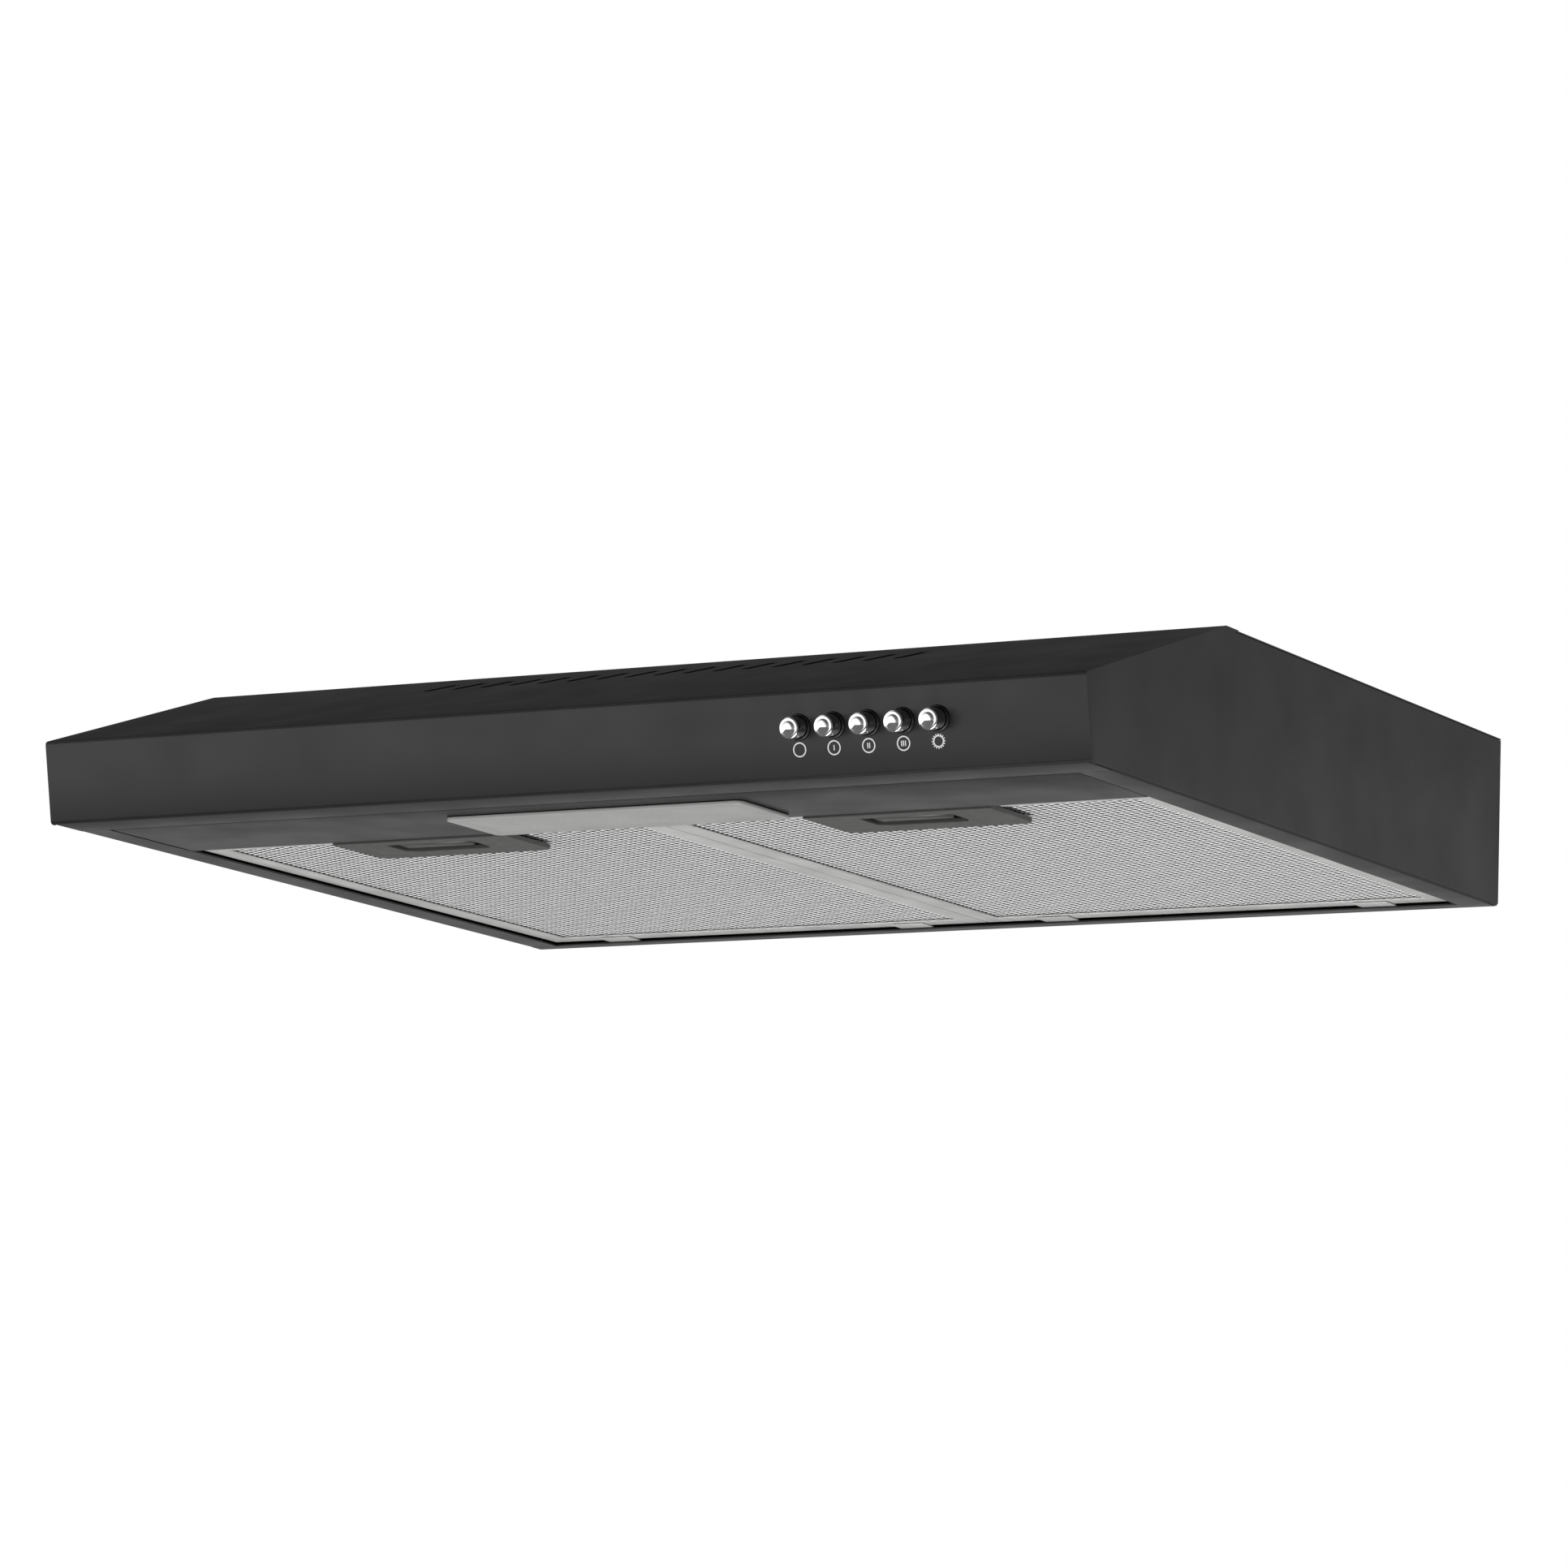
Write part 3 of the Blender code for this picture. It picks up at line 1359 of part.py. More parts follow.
def make_terminal_box():
    """A box open below, under the cable's entry."""
    half_x, half_y = TERMINAL_WIDTH / 2, TERMINAL_DEPTH / 2
    top = -(SHEET + GAP)
    low = (TERMINAL_X - half_x, terminal_y() - half_y, top - TERMINAL_HEIGHT)
    high = (TERMINAL_X + half_x, terminal_y() + half_y, top)
    case = box("terminal_box", low, high)
    wall = -TERMINAL_WALL
    space_low, space_high = grown((low, high), (wall, wall, wall))
    space_low = (space_low[0], space_low[1], low[2] - REACH)
    cut(case, box("terminal_space", space_low, space_high))
    cut(case, upright("entry", TERMINAL_X, terminal_y(), GLAND_NECK + GAP))
    cover_top = low[2] - GAP
    cover = box(
        "terminal_cover",
        (low[0], low[1], cover_top - TERMINAL_COVER),
        (high[0], high[1], cover_top),
    )
    return case, cover


def make_cable_gland():
    foot = -(SHEET + GAP + TERMINAL_WALL + GLAND_HEIGHT / 2)
    profile = [
        (GLAND_RADIUS * 0.8, GLAND_HEIGHT),
        (GLAND_RADIUS, GLAND_HEIGHT / 2),
        (GLAND_RADIUS, GAP),
        (GLAND_NECK, GAP),
        (GLAND_NECK, foot),
        (GLAND_BORE, foot),
        (GLAND_BORE, GLAND_HEIGHT),
    ]
    frame = Matrix.Translation((TERMINAL_X, terminal_y(), 0))
    return turned("cable_gland", profile, frame, ring=True)


def make_capacitor():
    """The motor's run capacitor in its strap, along X under the top."""
    y = WALL_Y - CAPACITOR_TO_WALL
    z = -(SHEET + 2 * GAP) - CAPACITOR_RADIUS
    half = CAPACITOR_LENGTH / 2
    can = cylinder(
        "capacitor", CAPACITOR_RADIUS, (CAPACITOR_X - half, y, z), (CAPACITOR_X + half, y, z)
    )
    inner = CAPACITOR_RADIUS + GAP
    outer = inner + SHEET
    top = -(SHEET + GAP)
    foot = top - SHEET
    steps = [pi + pi * i / 12 for i in range(13)]
    outline = [(y - outer - STRAP_FOOT, top), (y - outer - STRAP_FOOT, foot), (y - outer, foot)]
    outline += [(y + outer * cos(a), z + outer * sin(a)) for a in steps]
    outline += [(y + outer, foot), (y + outer + STRAP_FOOT, foot)]
    outline += [(y + outer + STRAP_FOOT, top), (y + inner, top)]
    outline += [(y + inner * cos(a), z + inner * sin(a)) for a in reversed(steps)]
    outline.append((y - inner, top))
    half = STRAP_WIDTH / 2
    strap = prism("capacitor_strap", outline, CAPACITOR_X - half, CAPACITOR_X + half, "X")
    return can, strap


# ---------------------------------------------------------------- assembly


def build_body():
    enamel = material("black_enamel", (0.045, 0.045, 0.045), 0.0, 0.42)
    for piece in (
        make_top_sheet(),
        make_side_panel("left_side_panel", -1),
        make_side_panel("right_side_panel", 1),
        make_rear_panel(),
        make_light_plate(),
    ):
        paint(piece, enamel)


def build_lamp():
    paint(make_lamp_lens(), material("lens_plastic", (0.7, 0.7, 0.69), 0.0, 0.35, 0.9))
    reflector, socket, cap, bulb = make_lamp()
    paint(reflector, material("reflector_sheet", (0.8, 0.8, 0.8), 1.0, 0.25))
    paint(socket, material("socket_plastic", (0.85, 0.84, 0.80), 0.0, 0.5))
    paint(cap, material("lamp_cap_metal", (0.75, 0.74, 0.70), 1.0, 0.35))
    paint(bulb, material("bulb_glass", (0.95, 0.95, 0.92), 0.0, 0.2, 0.6))


def build_buttons():
    paint(make_switch_housing(), material("switch_plastic", (0.03, 0.03, 0.03), 0.0, 0.4))
    chrome = material("button_chrome", (0.85, 0.85, 0.86), 1.0, 0.08)
    steel = material("spring_steel", (0.5, 0.5, 0.52), 1.0, 0.3)
    for i in range(len(BUTTON_NAMES)):
        paint(make_button(i), chrome)
        paint(make_button_spring(i), steel)


def build_filters():
    frame_metal = material("filter_aluminium", (0.62, 0.62, 0.61), 1.0, 0.4)
    mesh_metal = material("filter_mesh_aluminium", (0.80, 0.80, 0.79), 1.0, 0.3)
    grey_plastic = material("handle_plastic", (0.15, 0.15, 0.145), 0.0, 0.45)
    latch_plastic = material("latch_plastic", (0.14, 0.14, 0.14), 0.0, 0.4)
    steel = material("latch_spring_steel", (0.5, 0.5, 0.52), 1.0, 0.3)
    for word, side in (("left", -1), ("right", 1)):
        metal, mesh, handle, latch, coil = make_filter(word, side)
        for piece in metal:
            paint(piece, frame_metal)
        paint(mesh, mesh_metal)
        paint(handle, grey_plastic)
        paint(latch, latch_plastic)
        paint(coil, steel)


def build_outlet():
    plastic = material("duct_plastic", (0.12, 0.12, 0.12), 0.0, 0.5)
    paint(make_duct_collar(), plastic)
    paint(make_flap("left_flap", -1), plastic)
    paint(make_flap("right_flap", 1), plastic)
    paint(make_flap_pin(), material("pin_steel", (0.6, 0.6, 0.62), 1.0, 0.3))


def build_blower():
    galvanised = material("blower_sheet", (0.58, 0.59, 0.60), 1.0, 0.42)
    moulding = material("impeller_plastic", (0.06, 0.06, 0.065), 0.0, 0.5)
    steel = material("motor_steel", (0.45, 0.45, 0.46), 1.0, 0.4)
    for piece in (make_blower_tray(), make_blower_lid(), make_motor_bracket()):
        paint(piece, galvanised)
    paint(make_inlet_ring(), moulding)
    paint(make_impeller(), moulding)
    for piece in make_motor():
        paint(piece, steel)
    for i in range(3):
        paint(make_bracket_screw(i), steel)


def build_electrics():
    plastic = material("terminal_plastic", (0.75, 0.75, 0.73), 0.0, 0.5)
    for piece in make_terminal_box():
        paint(piece, plastic)
    paint(make_cable_gland(), material("gland_plastic", (0.05, 0.05, 0.05), 0.0, 0.5))
    can, strap = make_capacitor()
    paint(can, material("capacitor_can", (0.80, 0.80, 0.78), 0.0, 0.35))
    paint(strap, material("strap_steel", (0.6, 0.6, 0.6), 1.0, 0.4))


clear_scene()
PARTS = new_collection("under_cabinet_range_hood")
CUTTERS = new_collection("cutters")
build_body()
build_lamp()
build_buttons()
build_filters()
build_outlet()
build_blower()
build_electrics()
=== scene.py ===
"""Looks of a 600 mm under-cabinet range hood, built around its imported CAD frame."""

from math import atan2, cos, pi, radians, sin, tau

import bmesh
import bpy
from mathutils import Matrix, Vector


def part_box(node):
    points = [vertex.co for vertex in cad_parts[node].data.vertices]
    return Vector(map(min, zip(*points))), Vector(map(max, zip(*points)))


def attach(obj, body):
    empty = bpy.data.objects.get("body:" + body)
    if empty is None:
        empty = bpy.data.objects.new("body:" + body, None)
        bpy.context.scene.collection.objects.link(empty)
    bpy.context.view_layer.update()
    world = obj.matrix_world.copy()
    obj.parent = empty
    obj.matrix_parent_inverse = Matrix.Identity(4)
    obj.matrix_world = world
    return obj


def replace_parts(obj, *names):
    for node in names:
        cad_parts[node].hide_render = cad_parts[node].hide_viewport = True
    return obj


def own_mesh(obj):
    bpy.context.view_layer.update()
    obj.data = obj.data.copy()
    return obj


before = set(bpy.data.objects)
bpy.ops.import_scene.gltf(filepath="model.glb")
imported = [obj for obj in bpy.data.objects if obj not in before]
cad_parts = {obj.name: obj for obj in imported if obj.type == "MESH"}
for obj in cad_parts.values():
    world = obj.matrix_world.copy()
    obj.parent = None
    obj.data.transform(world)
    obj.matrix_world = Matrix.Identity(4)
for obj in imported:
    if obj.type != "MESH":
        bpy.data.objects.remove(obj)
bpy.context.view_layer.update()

# Sizes that repeat the CAD source, in metres
FRONT_Y = -0.190
BOTTOM_Z = -0.090
FASCIA_ANGLE = atan2(0.0086, 0.0415)
BUTTONS = ("button_off", "button_low", "button_medium", "button_high", "button_lamp")
BUTTON_FIRST_X = 0.1444
BUTTON_PITCH = 0.0189
BUTTON_RISE = 0.0250
BUTTON_RADIUS = 0.0052
BUTTON_PROUD = 0.0112
BUTTON_EDGE = 0.0015
BUTTON_DOME = 0.0009
BUTTON_SEAT = 0.0060
BUTTON_CLEARANCE = 0.0004
COLLAR_WALL = 0.0007
COLLAR_PROUD = 0.0015
MARK_RISE = 0.0142
MARK_SHIFT = 0.0003
MARK_RADIUS = 0.0036
LAMP_MARK_RADIUS = 0.0029
MARK_STROKE = 0.00062
MARK_THICKNESS = 0.00006
MARK_TEETH = 16
SIDES = ("left", "right")

# Camera solved from the photograph
AZIMUTH = radians(30.37)
ELEVATION = radians(-9.43)
ROLL = radians(-2.07)
DISTANCE = 3.3134
TARGET = Vector((-0.0121, 0.0600, -0.04354))
LENS_MM = 144.97
SENSOR_MM = 36.0


# ---------------------------------------------------------------- procedural materials


class Look:
    """A Principled material and the procedural texture nodes that feed it."""

    def __init__(self, name, metallic=0.0, roughness=0.5, **constants):
        self.material = bpy.data.materials.new(name)
        self.material.use_nodes = True
        tree = self.material.node_tree
        self.nodes, self.links = tree.nodes, tree.links
        self.shader = next(n for n in self.nodes if n.type == "BSDF_PRINCIPLED")
        self.place = self.nodes.new("ShaderNodeTexCoord").outputs["Object"]
        self.shader.inputs["Metallic"].default_value = metallic
        self.shader.inputs["Roughness"].default_value = roughness
        for socket, value in constants.items():
            self.shader.inputs[socket.replace("_", " ")].default_value = value

    def stretched(self, x, y, z):
        """Texture coordinates scaled along each axis, for grain that runs one way."""
        node = self.nodes.new("ShaderNodeMapping")
        node.inputs["Scale"].default_value = (x, y, z)
        self.links.new(self.place, node.inputs["Vector"])
        return node.outputs["Vector"]

    def noise(self, scale, detail=3.0, roughness=0.5, place=None):
        node = self.nodes.new("ShaderNodeTexNoise")
        node.inputs["Scale"].default_value = scale
        node.inputs["Detail"].default_value = detail
        node.inputs["Roughness"].default_value = roughness
        self.links.new(place or self.place, node.inputs["Vector"])
        return node.outputs["Fac"]

    def cells(self, scale, place=None):
        node = self.nodes.new("ShaderNodeTexVoronoi")
        node.inputs["Scale"].default_value = scale
        self.links.new(place or self.place, node.inputs["Vector"])
        spread = self.nodes.new("ShaderNodeSeparateColor")
        self.links.new(node.outputs["Color"], spread.inputs["Color"])
        return spread.outputs["Red"]

    def between(self, value, low, high, start=0.3, end=0.7):
        """The value's range from start to end, spread over low to high."""
        node = self.nodes.new("ShaderNodeMapRange")
        for socket, number in zip(("From Min", "From Max", "To Min", "To Max"), (start, end, low, high)):
            node.inputs[socket].default_value = number
        self.links.new(value, node.inputs["Value"])
        return node.outputs["Result"]

    def product(self, first, second):
        node = self.nodes.new("ShaderNodeMath")
        node.operation = "MULTIPLY"
        self.links.new(first, node.inputs[0])
        self.links.new(second, node.inputs[1])
        return node.outputs["Value"]

    def colour(self, value, dark, light, start=0.3, end=0.7):
        ramp = self.nodes.new("ShaderNodeValToRGB")
        low, high = ramp.color_ramp.elements
        low.position, high.position = start, end
        low.color, high.color = (*dark, 1.0), (*light, 1.0)
        self.links.new(value, ramp.inputs["Fac"])
        self.links.new(ramp.outputs["Color"], self.shader.inputs["Base Color"])
        return self

    def rough(self, value, low, high):
        self.links.new(self.between(value, low, high), self.shader.inputs["Roughness"])
        return self

    def relief(self, *layers):
        """Bump layers of (height, depth in metres), each added to the one before."""
        normal = None
        for height, depth in layers:
            bump = self.nodes.new("ShaderNodeBump")
            bump.inputs["Strength"].default_value = 1.0
            bump.inputs["Distance"].default_value = depth
            self.links.new(height, bump.inputs["Height"])
            if normal:
                self.links.new(normal, bump.inputs["Normal"])
            normal = bump.outputs["Normal"]
        self.links.new(normal, self.shader.inputs["Normal"])
        return self


def grey(level, warmth=0.0):
    """A linear grey; warmth takes that share off the blue."""
    return (level, level * (1 - warmth / 3), level * (1 - warmth))


def enamel():
    """Satin black powder coat: fine orange peel, fine grain and soft cloudy variation."""
    look = Look("satin_black_enamel", 0.0, 0.4, Specular_IOR_Level=0.42)
    cloud = look.noise(9.0, 2.0)
    peel = look.noise(900.0, 2.0)
    grain = look.noise(3600.0, 2.0)
    look.colour(cloud, grey(0.0090, 0.04), grey(0.0106, 0.05))
    look.rough(look.noise(26.0, 4.0), 0.33, 0.42)
    return look.relief((peel, 0.000016), (grain, 0.000008))


def zinc():
    """Galvanised sheet with a spangle of flat crystals."""
    look = Look("galvanised_sheet", 0.9, 0.4)
    spangle = look.cells(110.0)
    look.colour(spangle, grey(0.30), grey(0.52), 0.0, 1.0)
    look.rough(spangle, 0.30, 0.48)
    return look.relief((look.noise(700.0, 3.0), 0.00001))


def brushed(name, dark, light, along, roughness, warmth=0.02, metallic=1.0):
    """Rolled metal with fine lines along one axis."""
    look = Look(name, metallic, roughness)
    stretch = [900.0, 900.0, 900.0]
    stretch["XYZ".index(along)] = 14.0
    lines = look.noise(1.0, 3.0, 0.6, look.stretched(*stretch))
    patches = look.noise(35.0, 2.0)
    look.colour(look.product(lines, patches), grey(dark, warmth), grey(light, warmth), 0.12, 0.40)
    look.rough(lines, roughness - 0.07, roughness + 0.07)
    return look.relief((lines, 0.000006))


def plastic(name, dark, light, roughness, grain=1800.0, depth=0.000012, warmth=0.02, **constants):
    """Moulded plastic with spark-eroded grain."""
    look = Look(name, 0.0, roughness, **constants)
    look.colour(look.noise(60.0, 4.0), grey(dark, warmth), grey(light, warmth))
    look.rough(look.noise(240.0, 3.0), roughness - 0.05, roughness + 0.05)
    return look.relief((look.noise(grain, 2.0), depth))


def polished(name, dark, light, roughness, tint=(1.0, 1.0, 1.0), metallic=1.0):
    """Plated metal with faint smears that change its gloss."""
    look = Look(name, metallic, roughness)
    smear = look.noise(420.0, 4.0)
    look.colour(smear, tuple(dark * t for t in tint), tuple(light * t for t in tint))
    look.rough(smear, roughness * 0.7, roughness * 1.4)
    return look.relief((look.noise(2400.0, 1.0), 0.000001))


def clear(name, tint, roughness, transmission, ior=1.5):
    """Glass or clear plastic with a light surface haze."""
    look = Look(name, 0.0, roughness, Transmission_Weight=transmission, IOR=ior)
    haze = look.noise(300.0, 3.0)
    look.colour(haze, tuple(0.94 * t for t in tint), tint)
    look.rough(haze, roughness * 0.8, roughness * 1.25)
    return look


def diffuser():
    """Frosted lamp cover: milky plastic with fine prisms moulded across it."""
    look = Look("frosted_diffuser", 0.0, 0.36, Transmission_Weight=0.30, IOR=1.49)
    look.colour(look.noise(40.0, 2.0), grey(0.41, 0.02), grey(0.46, 0.02))
    look.rough(look.noise(500.0, 2.0), 0.30, 0.44)
    prisms = look.noise(1.0, 0.0, 0.5, look.stretched(1100.0, 1100.0, 0.0))
    return look.relief((prisms, 0.00005))


def printed():
    """Screen-printed pale ink, slightly uneven at its edges."""
    look = Look("printed_marks", 0.0, 0.5)
    look.colour(look.noise(5000.0, 3.0), grey(0.55), grey(0.78), 0.2, 0.6)
    return look.relief((look.noise(6000.0, 1.0), 0.000004))


LOOKS = {
    "body_enamel": enamel(),
    "zinc_sheet": zinc(),
    "lens": diffuser(),
    "reflector": polished("bright_reflector", 0.70, 0.82, 0.16),
    "socket": plastic("socket_moulding", 0.62, 0.72, 0.42),
    "lamp_cap": polished("brass_cap", 0.62, 0.80, 0.24, (1.0, 0.80, 0.42)),
    "bulb": clear("bulb_glass", (0.96, 0.96, 0.95), 0.06, 0.9),
    "switch": plastic("switch_moulding", 0.012, 0.018, 0.42),
    "button": polished("chrome_cap", 0.80, 0.90, 0.055),
    "spring": polished("spring_wire", 0.42, 0.60, 0.26),
    "filter_frame": brushed("filter_frame_aluminium", 0.52, 0.70, "Y", 0.44, metallic=0.45),
    "filter_mesh": polished("expanded_aluminium", 0.90, 0.97, 0.34, metallic=0.12),
    "handle": plastic("handle_moulding", 0.048, 0.058, 0.46, warmth=0.06),
    "latch": plastic("latch_moulding", 0.044, 0.054, 0.44, warmth=0.06),
    "duct_plastic": plastic("duct_moulding", 0.020, 0.030, 0.48),
    "impeller": plastic("impeller_moulding", 0.035, 0.050, 0.40),
    "motor_steel": brushed("motor_steel", 0.30, 0.46, "Z", 0.36),
    "terminal": plastic("terminal_moulding", 0.10, 0.14, 0.50),
    "gland": plastic("gland_moulding", 0.02, 0.03, 0.38),
    "capacitor": plastic("capacitor_shell", 0.55, 0.66, 0.36),
}
INK = printed()
# Painted shade: the filter's inner mesh sheet is really aluminium, and this dark grey stands for the shadow
# deep inside the filter's layers.
SHADE_PAINTED_INNER_MESH = plastic("filter_backing", 0.10, 0.22, 0.7)


# ---------------------------------------------------------------- mesh building


def new_piece(name, vertices, faces, slot=None, look=None, body="hood", smooth=True):
    """A mesh object in the row frame, riding on a body."""
    mesh = bpy.data.meshes.new(name)
    mesh.from_pydata([tuple(v) for v in vertices], [], faces)
    mesh.validate()
    bm = bmesh.new()
    bm.from_mesh(mesh)
    bmesh.ops.recalc_face_normals(bm, faces=bm.faces)
    bm.to_mesh(mesh)
    bm.free()
    piece = bpy.data.objects.new(name, mesh)
    bpy.context.scene.collection.objects.link(piece)
    mesh.materials.append((look or LOOKS[slot]).material)
    if smooth:
        mesh.shade_smooth()
        mesh.set_sharp_from_angle(angle=radians(38))
    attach(piece, body)
    return piece


def joined(parts):
    """Several (vertices, faces) lists as one."""
    vertices, faces = [], []
    for more_vertices, more_faces in parts:
        start = len(vertices)
        vertices += more_vertices
        faces += [[start + i for i in face] for face in more_faces]
    return vertices, faces


def placed(part, matrix):
    vertices, faces = part
    return [matrix @ Vector(v) for v in vertices], faces


def loft(rings, close=True, cap_start=True, cap_end=True):
    """Faces between rings of equal length; each end may be capped."""
    count = len(rings[0])
    vertices = [point for ring in rings for point in ring]
    faces = []
    for row in range(len(rings) - 1):
        for i in range(count if close else count - 1):
            a = row * count + i
            b = row * count + (i + 1) % count
            faces.append([a, b, b + count, a + count])
    if cap_start:
        faces.append(list(range(count)))
    if cap_end:
        faces.append(list(range(len(vertices) - count, len(vertices))))
    return vertices, faces


def lathe(profile, count=64, close_profile=False):
    """The profile of (radius, height) points turned about Z."""
    rings = [
        [(r * cos(tau * i / count), r * sin(tau * i / count), h) for i in range(count)]
        for r, h in profile
    ]
    if close_profile:
        rings.append(rings[0])
    vertices, faces = loft(rings, cap_start=not close_profile, cap_end=not close_profile)
    return vertices, faces


def corner_arc(centre, radius, start, end, steps):
    """Points of an arc in a plane, from one angle in degrees to another."""
    points = []
    for step in range(steps + 1):
        angle = radians(start + (end - start) * step / steps)
        points.append((centre[0] + radius * cos(angle), centre[1] + radius * sin(angle)))
    return points


def round_box_outline(low, high, radii, steps=6):
    """A rectangle with its own radius at each corner, from the low-x low-y corner round."""
    (x0, y0), (x1, y1) = low, high
    corners = (
        ((x0, y0), (1, 1), 180),
        ((x1, y0), (-1, 1), 270),
        ((x1, y1), (-1, -1), 0),
        ((x0, y1), (1, -1), 90),
    )
    points = []
    for (corner, inward, start), radius in zip(corners, radii):
        radius = max(radius, 0.00002)
        centre = (corner[0] + inward[0] * radius, corner[1] + inward[1] * radius)
        points += corner_arc(centre, radius, start, start + 90, steps)
    return points


def shrunk_outline(low, high, radii, amount, z, steps=6):
    """The same outline moved in by an amount, at a height."""
    low = (low[0] + amount, low[1] + amount)
    high = (high[0] - amount, high[1] - amount)
    radii = [max(r - amount, 0.0) for r in radii]
    return [(x, y, z) for x, y in round_box_outline(low, high, radii, steps)]


def tube(points, radius, sides=8):
    """A round wire along the points."""
    rings = []
    up = None
    for i, point in enumerate(points):
        ahead = Vector(points[min(i + 1, len(points) - 1)]) - Vector(points[max(i - 1, 0)])
        ahead.normalize()
        if up is None:
            up = ahead.orthogonal().normalized()
        up = (up - ahead * up.dot(ahead)).normalized()
        across = ahead.cross(up)
        rings.append(
            [
                Vector(point) + radius * (cos(tau * k / sides) * up + sin(tau * k / sides) * across)
                for k in range(sides)
            ]
        )
    return loft(rings)


def block(low, high, matrix=Matrix.Identity(4)):
    """A box as (vertices, faces)."""
    base = [(low[0], low[1]), (high[0], low[1]), (high[0], high[1]), (low[0], high[1])]
    rings = [[(x, y, z) for x, y in base] for z in (low[2], high[2])]
    return placed(loft(rings), matrix)


def soften(piece, width, segments=3, angle=32):
    """Rounds the piece's edges with a Bevel modifier."""
    bevel = piece.modifiers.new("edges", "BEVEL")
    bevel.width = width
    bevel.segments = segments
    bevel.limit_method = "ANGLE"
    bevel.angle_limit = radians(angle)
    bevel.harden_normals = True
    piece.data.shade_smooth()
    return piece


def thicken(piece, thickness):
    """Gives a sheet its thickness, half to each side."""
    solid = piece.modifiers.new("strand_thickness", "SOLIDIFY")
    solid.thickness = thickness
    solid.offset = 0


def weld(piece, name, distance):
    piece.modifiers.new(name, "WELD").merge_threshold = distance


# ---------------------------------------------------------------- carried-over CAD nodes

EDGE_WIDTH = {
    "body_enamel": 0.00028,
    "filter_frame": 0.00018,
    "handle": 0.00045,
    "zinc_sheet": 0.00018,
    "duct_plastic": 0.0003,
    "impeller": 0.00012,
    "motor_steel": 0.0003,
    "capacitor": 0.0012,
    "terminal": 0.0006,
    "gland": 0.0004,
    "socket": 0.0004,
    "reflector": 0.0003,
}


def finish_cad_nodes():
    """Gives every CAD node its material and welded vertices, dissolves its flat faces, and rounds the edges
    of those whose slot has an EDGE_WIDTH.
    """
    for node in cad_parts.values():
        slot = node.data.materials[0].name.split(".")[0]
        node.data.materials[0] = LOOKS[slot].material
        normals = node.data.attributes.get("custom_normal")
        if normals:
            node.data.attributes.remove(normals)
        node.data.shade_smooth()
        weld(node, "weld", 0.000002)
        flat = node.modifiers.new("flat_faces", "DECIMATE")
        flat.decimate_type = "DISSOLVE"
        flat.angle_limit = radians(0.6)
        if slot in EDGE_WIDTH:
            soften(node, EDGE_WIDTH[slot], 2)


# ---------------------------------------------------------------- push buttons


def fascia_frame(x, rise):
    """A frame on the fascia's outer face: +Z points into the hood and +Y down the fascia."""
    place = (x, FRONT_Y - rise * sin(FASCIA_ANGLE), BOTTOM_Z + rise * cos(FASCIA_ANGLE))
    return Matrix.Translation(place) @ Matrix.Rotation(FASCIA_ANGLE - pi / 2, 4, "X")


def button_frame(i):
    return fascia_frame(BUTTON_FIRST_X + i * BUTTON_PITCH, BUTTON_RISE)


def make_button(i):
    """A chromed cap with a rounded rim and a shallow dome, on its guide stem."""
    radius, proud, edge, dome = BUTTON_RADIUS, BUTTON_PROUD, BUTTON_EDGE, BUTTON_DOME
    profile = [(0.0, BUTTON_SEAT + 0.006), (0.002, BUTTON_SEAT + 0.006), (0.002, BUTTON_SEAT)]
    profile += [(radius - 0.0002, BUTTON_SEAT), (radius, BUTTON_SEAT - 0.0002)]
    for step in range(9):
        turn = pi / 2 * step / 8
        profile.append((radius - edge * (1 - cos(turn)), dome + (edge - dome) * (1 - sin(turn)) - proud))
    face = radius - edge
    profile += [(face * share, dome * share**2 - proud) for share in (0.85, 0.7, 0.55, 0.4, 0.2, 0.0)]
    part = placed(lathe(profile, 72), button_frame(i))
    name = BUTTONS[i] + "_cap"
    piece = new_piece(name, *part, "button", body=BUTTONS[i])
    weld(piece, "poles", 0.000001)
    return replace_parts(piece, BUTTONS[i])


def make_switch_bank():
    """The moulded bank behind the fascia: a walled block and a round collar for each button."""
    inner = BUTTON_RADIUS + BUTTON_CLEARANCE
    outer = inner + COLLAR_WALL
    parts = []
    for i in range(len(BUTTONS)):
        profile = [
            (inner, 0.0195),
            (inner, 0.0003 - COLLAR_PROUD),
            (inner + 0.0003, -COLLAR_PROUD),
            (outer - 0.0004, -COLLAR_PROUD),
            (outer - 0.0001, 0.0003 - COLLAR_PROUD),
            (outer, 0.0006 - COLLAR_PROUD),
            (outer, 0.0195),
        ]
        parts.append(placed(lathe(profile, 64, True), button_frame(i)))
    last = (len(BUTTONS) - 1) * BUTTON_PITCH
    first = button_frame(0)
    back = 0.0011
    low = (-0.012, -0.0105, back)
    high = (last + 0.012, 0.0105, 0.024)
    wall = 0.0012
    parts.append(block(low, (high[0], low[1] + wall, high[2]), first))
    parts.append(block((low[0], high[1] - wall, low[2]), high, first))
    parts.append(block(low, (low[0] + wall, high[1], high[2]), first))
    parts.append(block((high[0] - wall, low[1], low[2]), high, first))
    parts.append(block((low[0], low[1], high[2] - 0.004), high, first))
    for i in range(9):
        x = low[0] + (high[0] - low[0]) * (i + 1) / 10
        parts.append(block((x - 0.0005, low[1] + wall, 0.0195), (x + 0.0005, high[1] - wall, 0.0205), first))
    piece = new_piece("switch_bank", *joined(parts), "switch")
    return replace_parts(piece, "switch_housing")


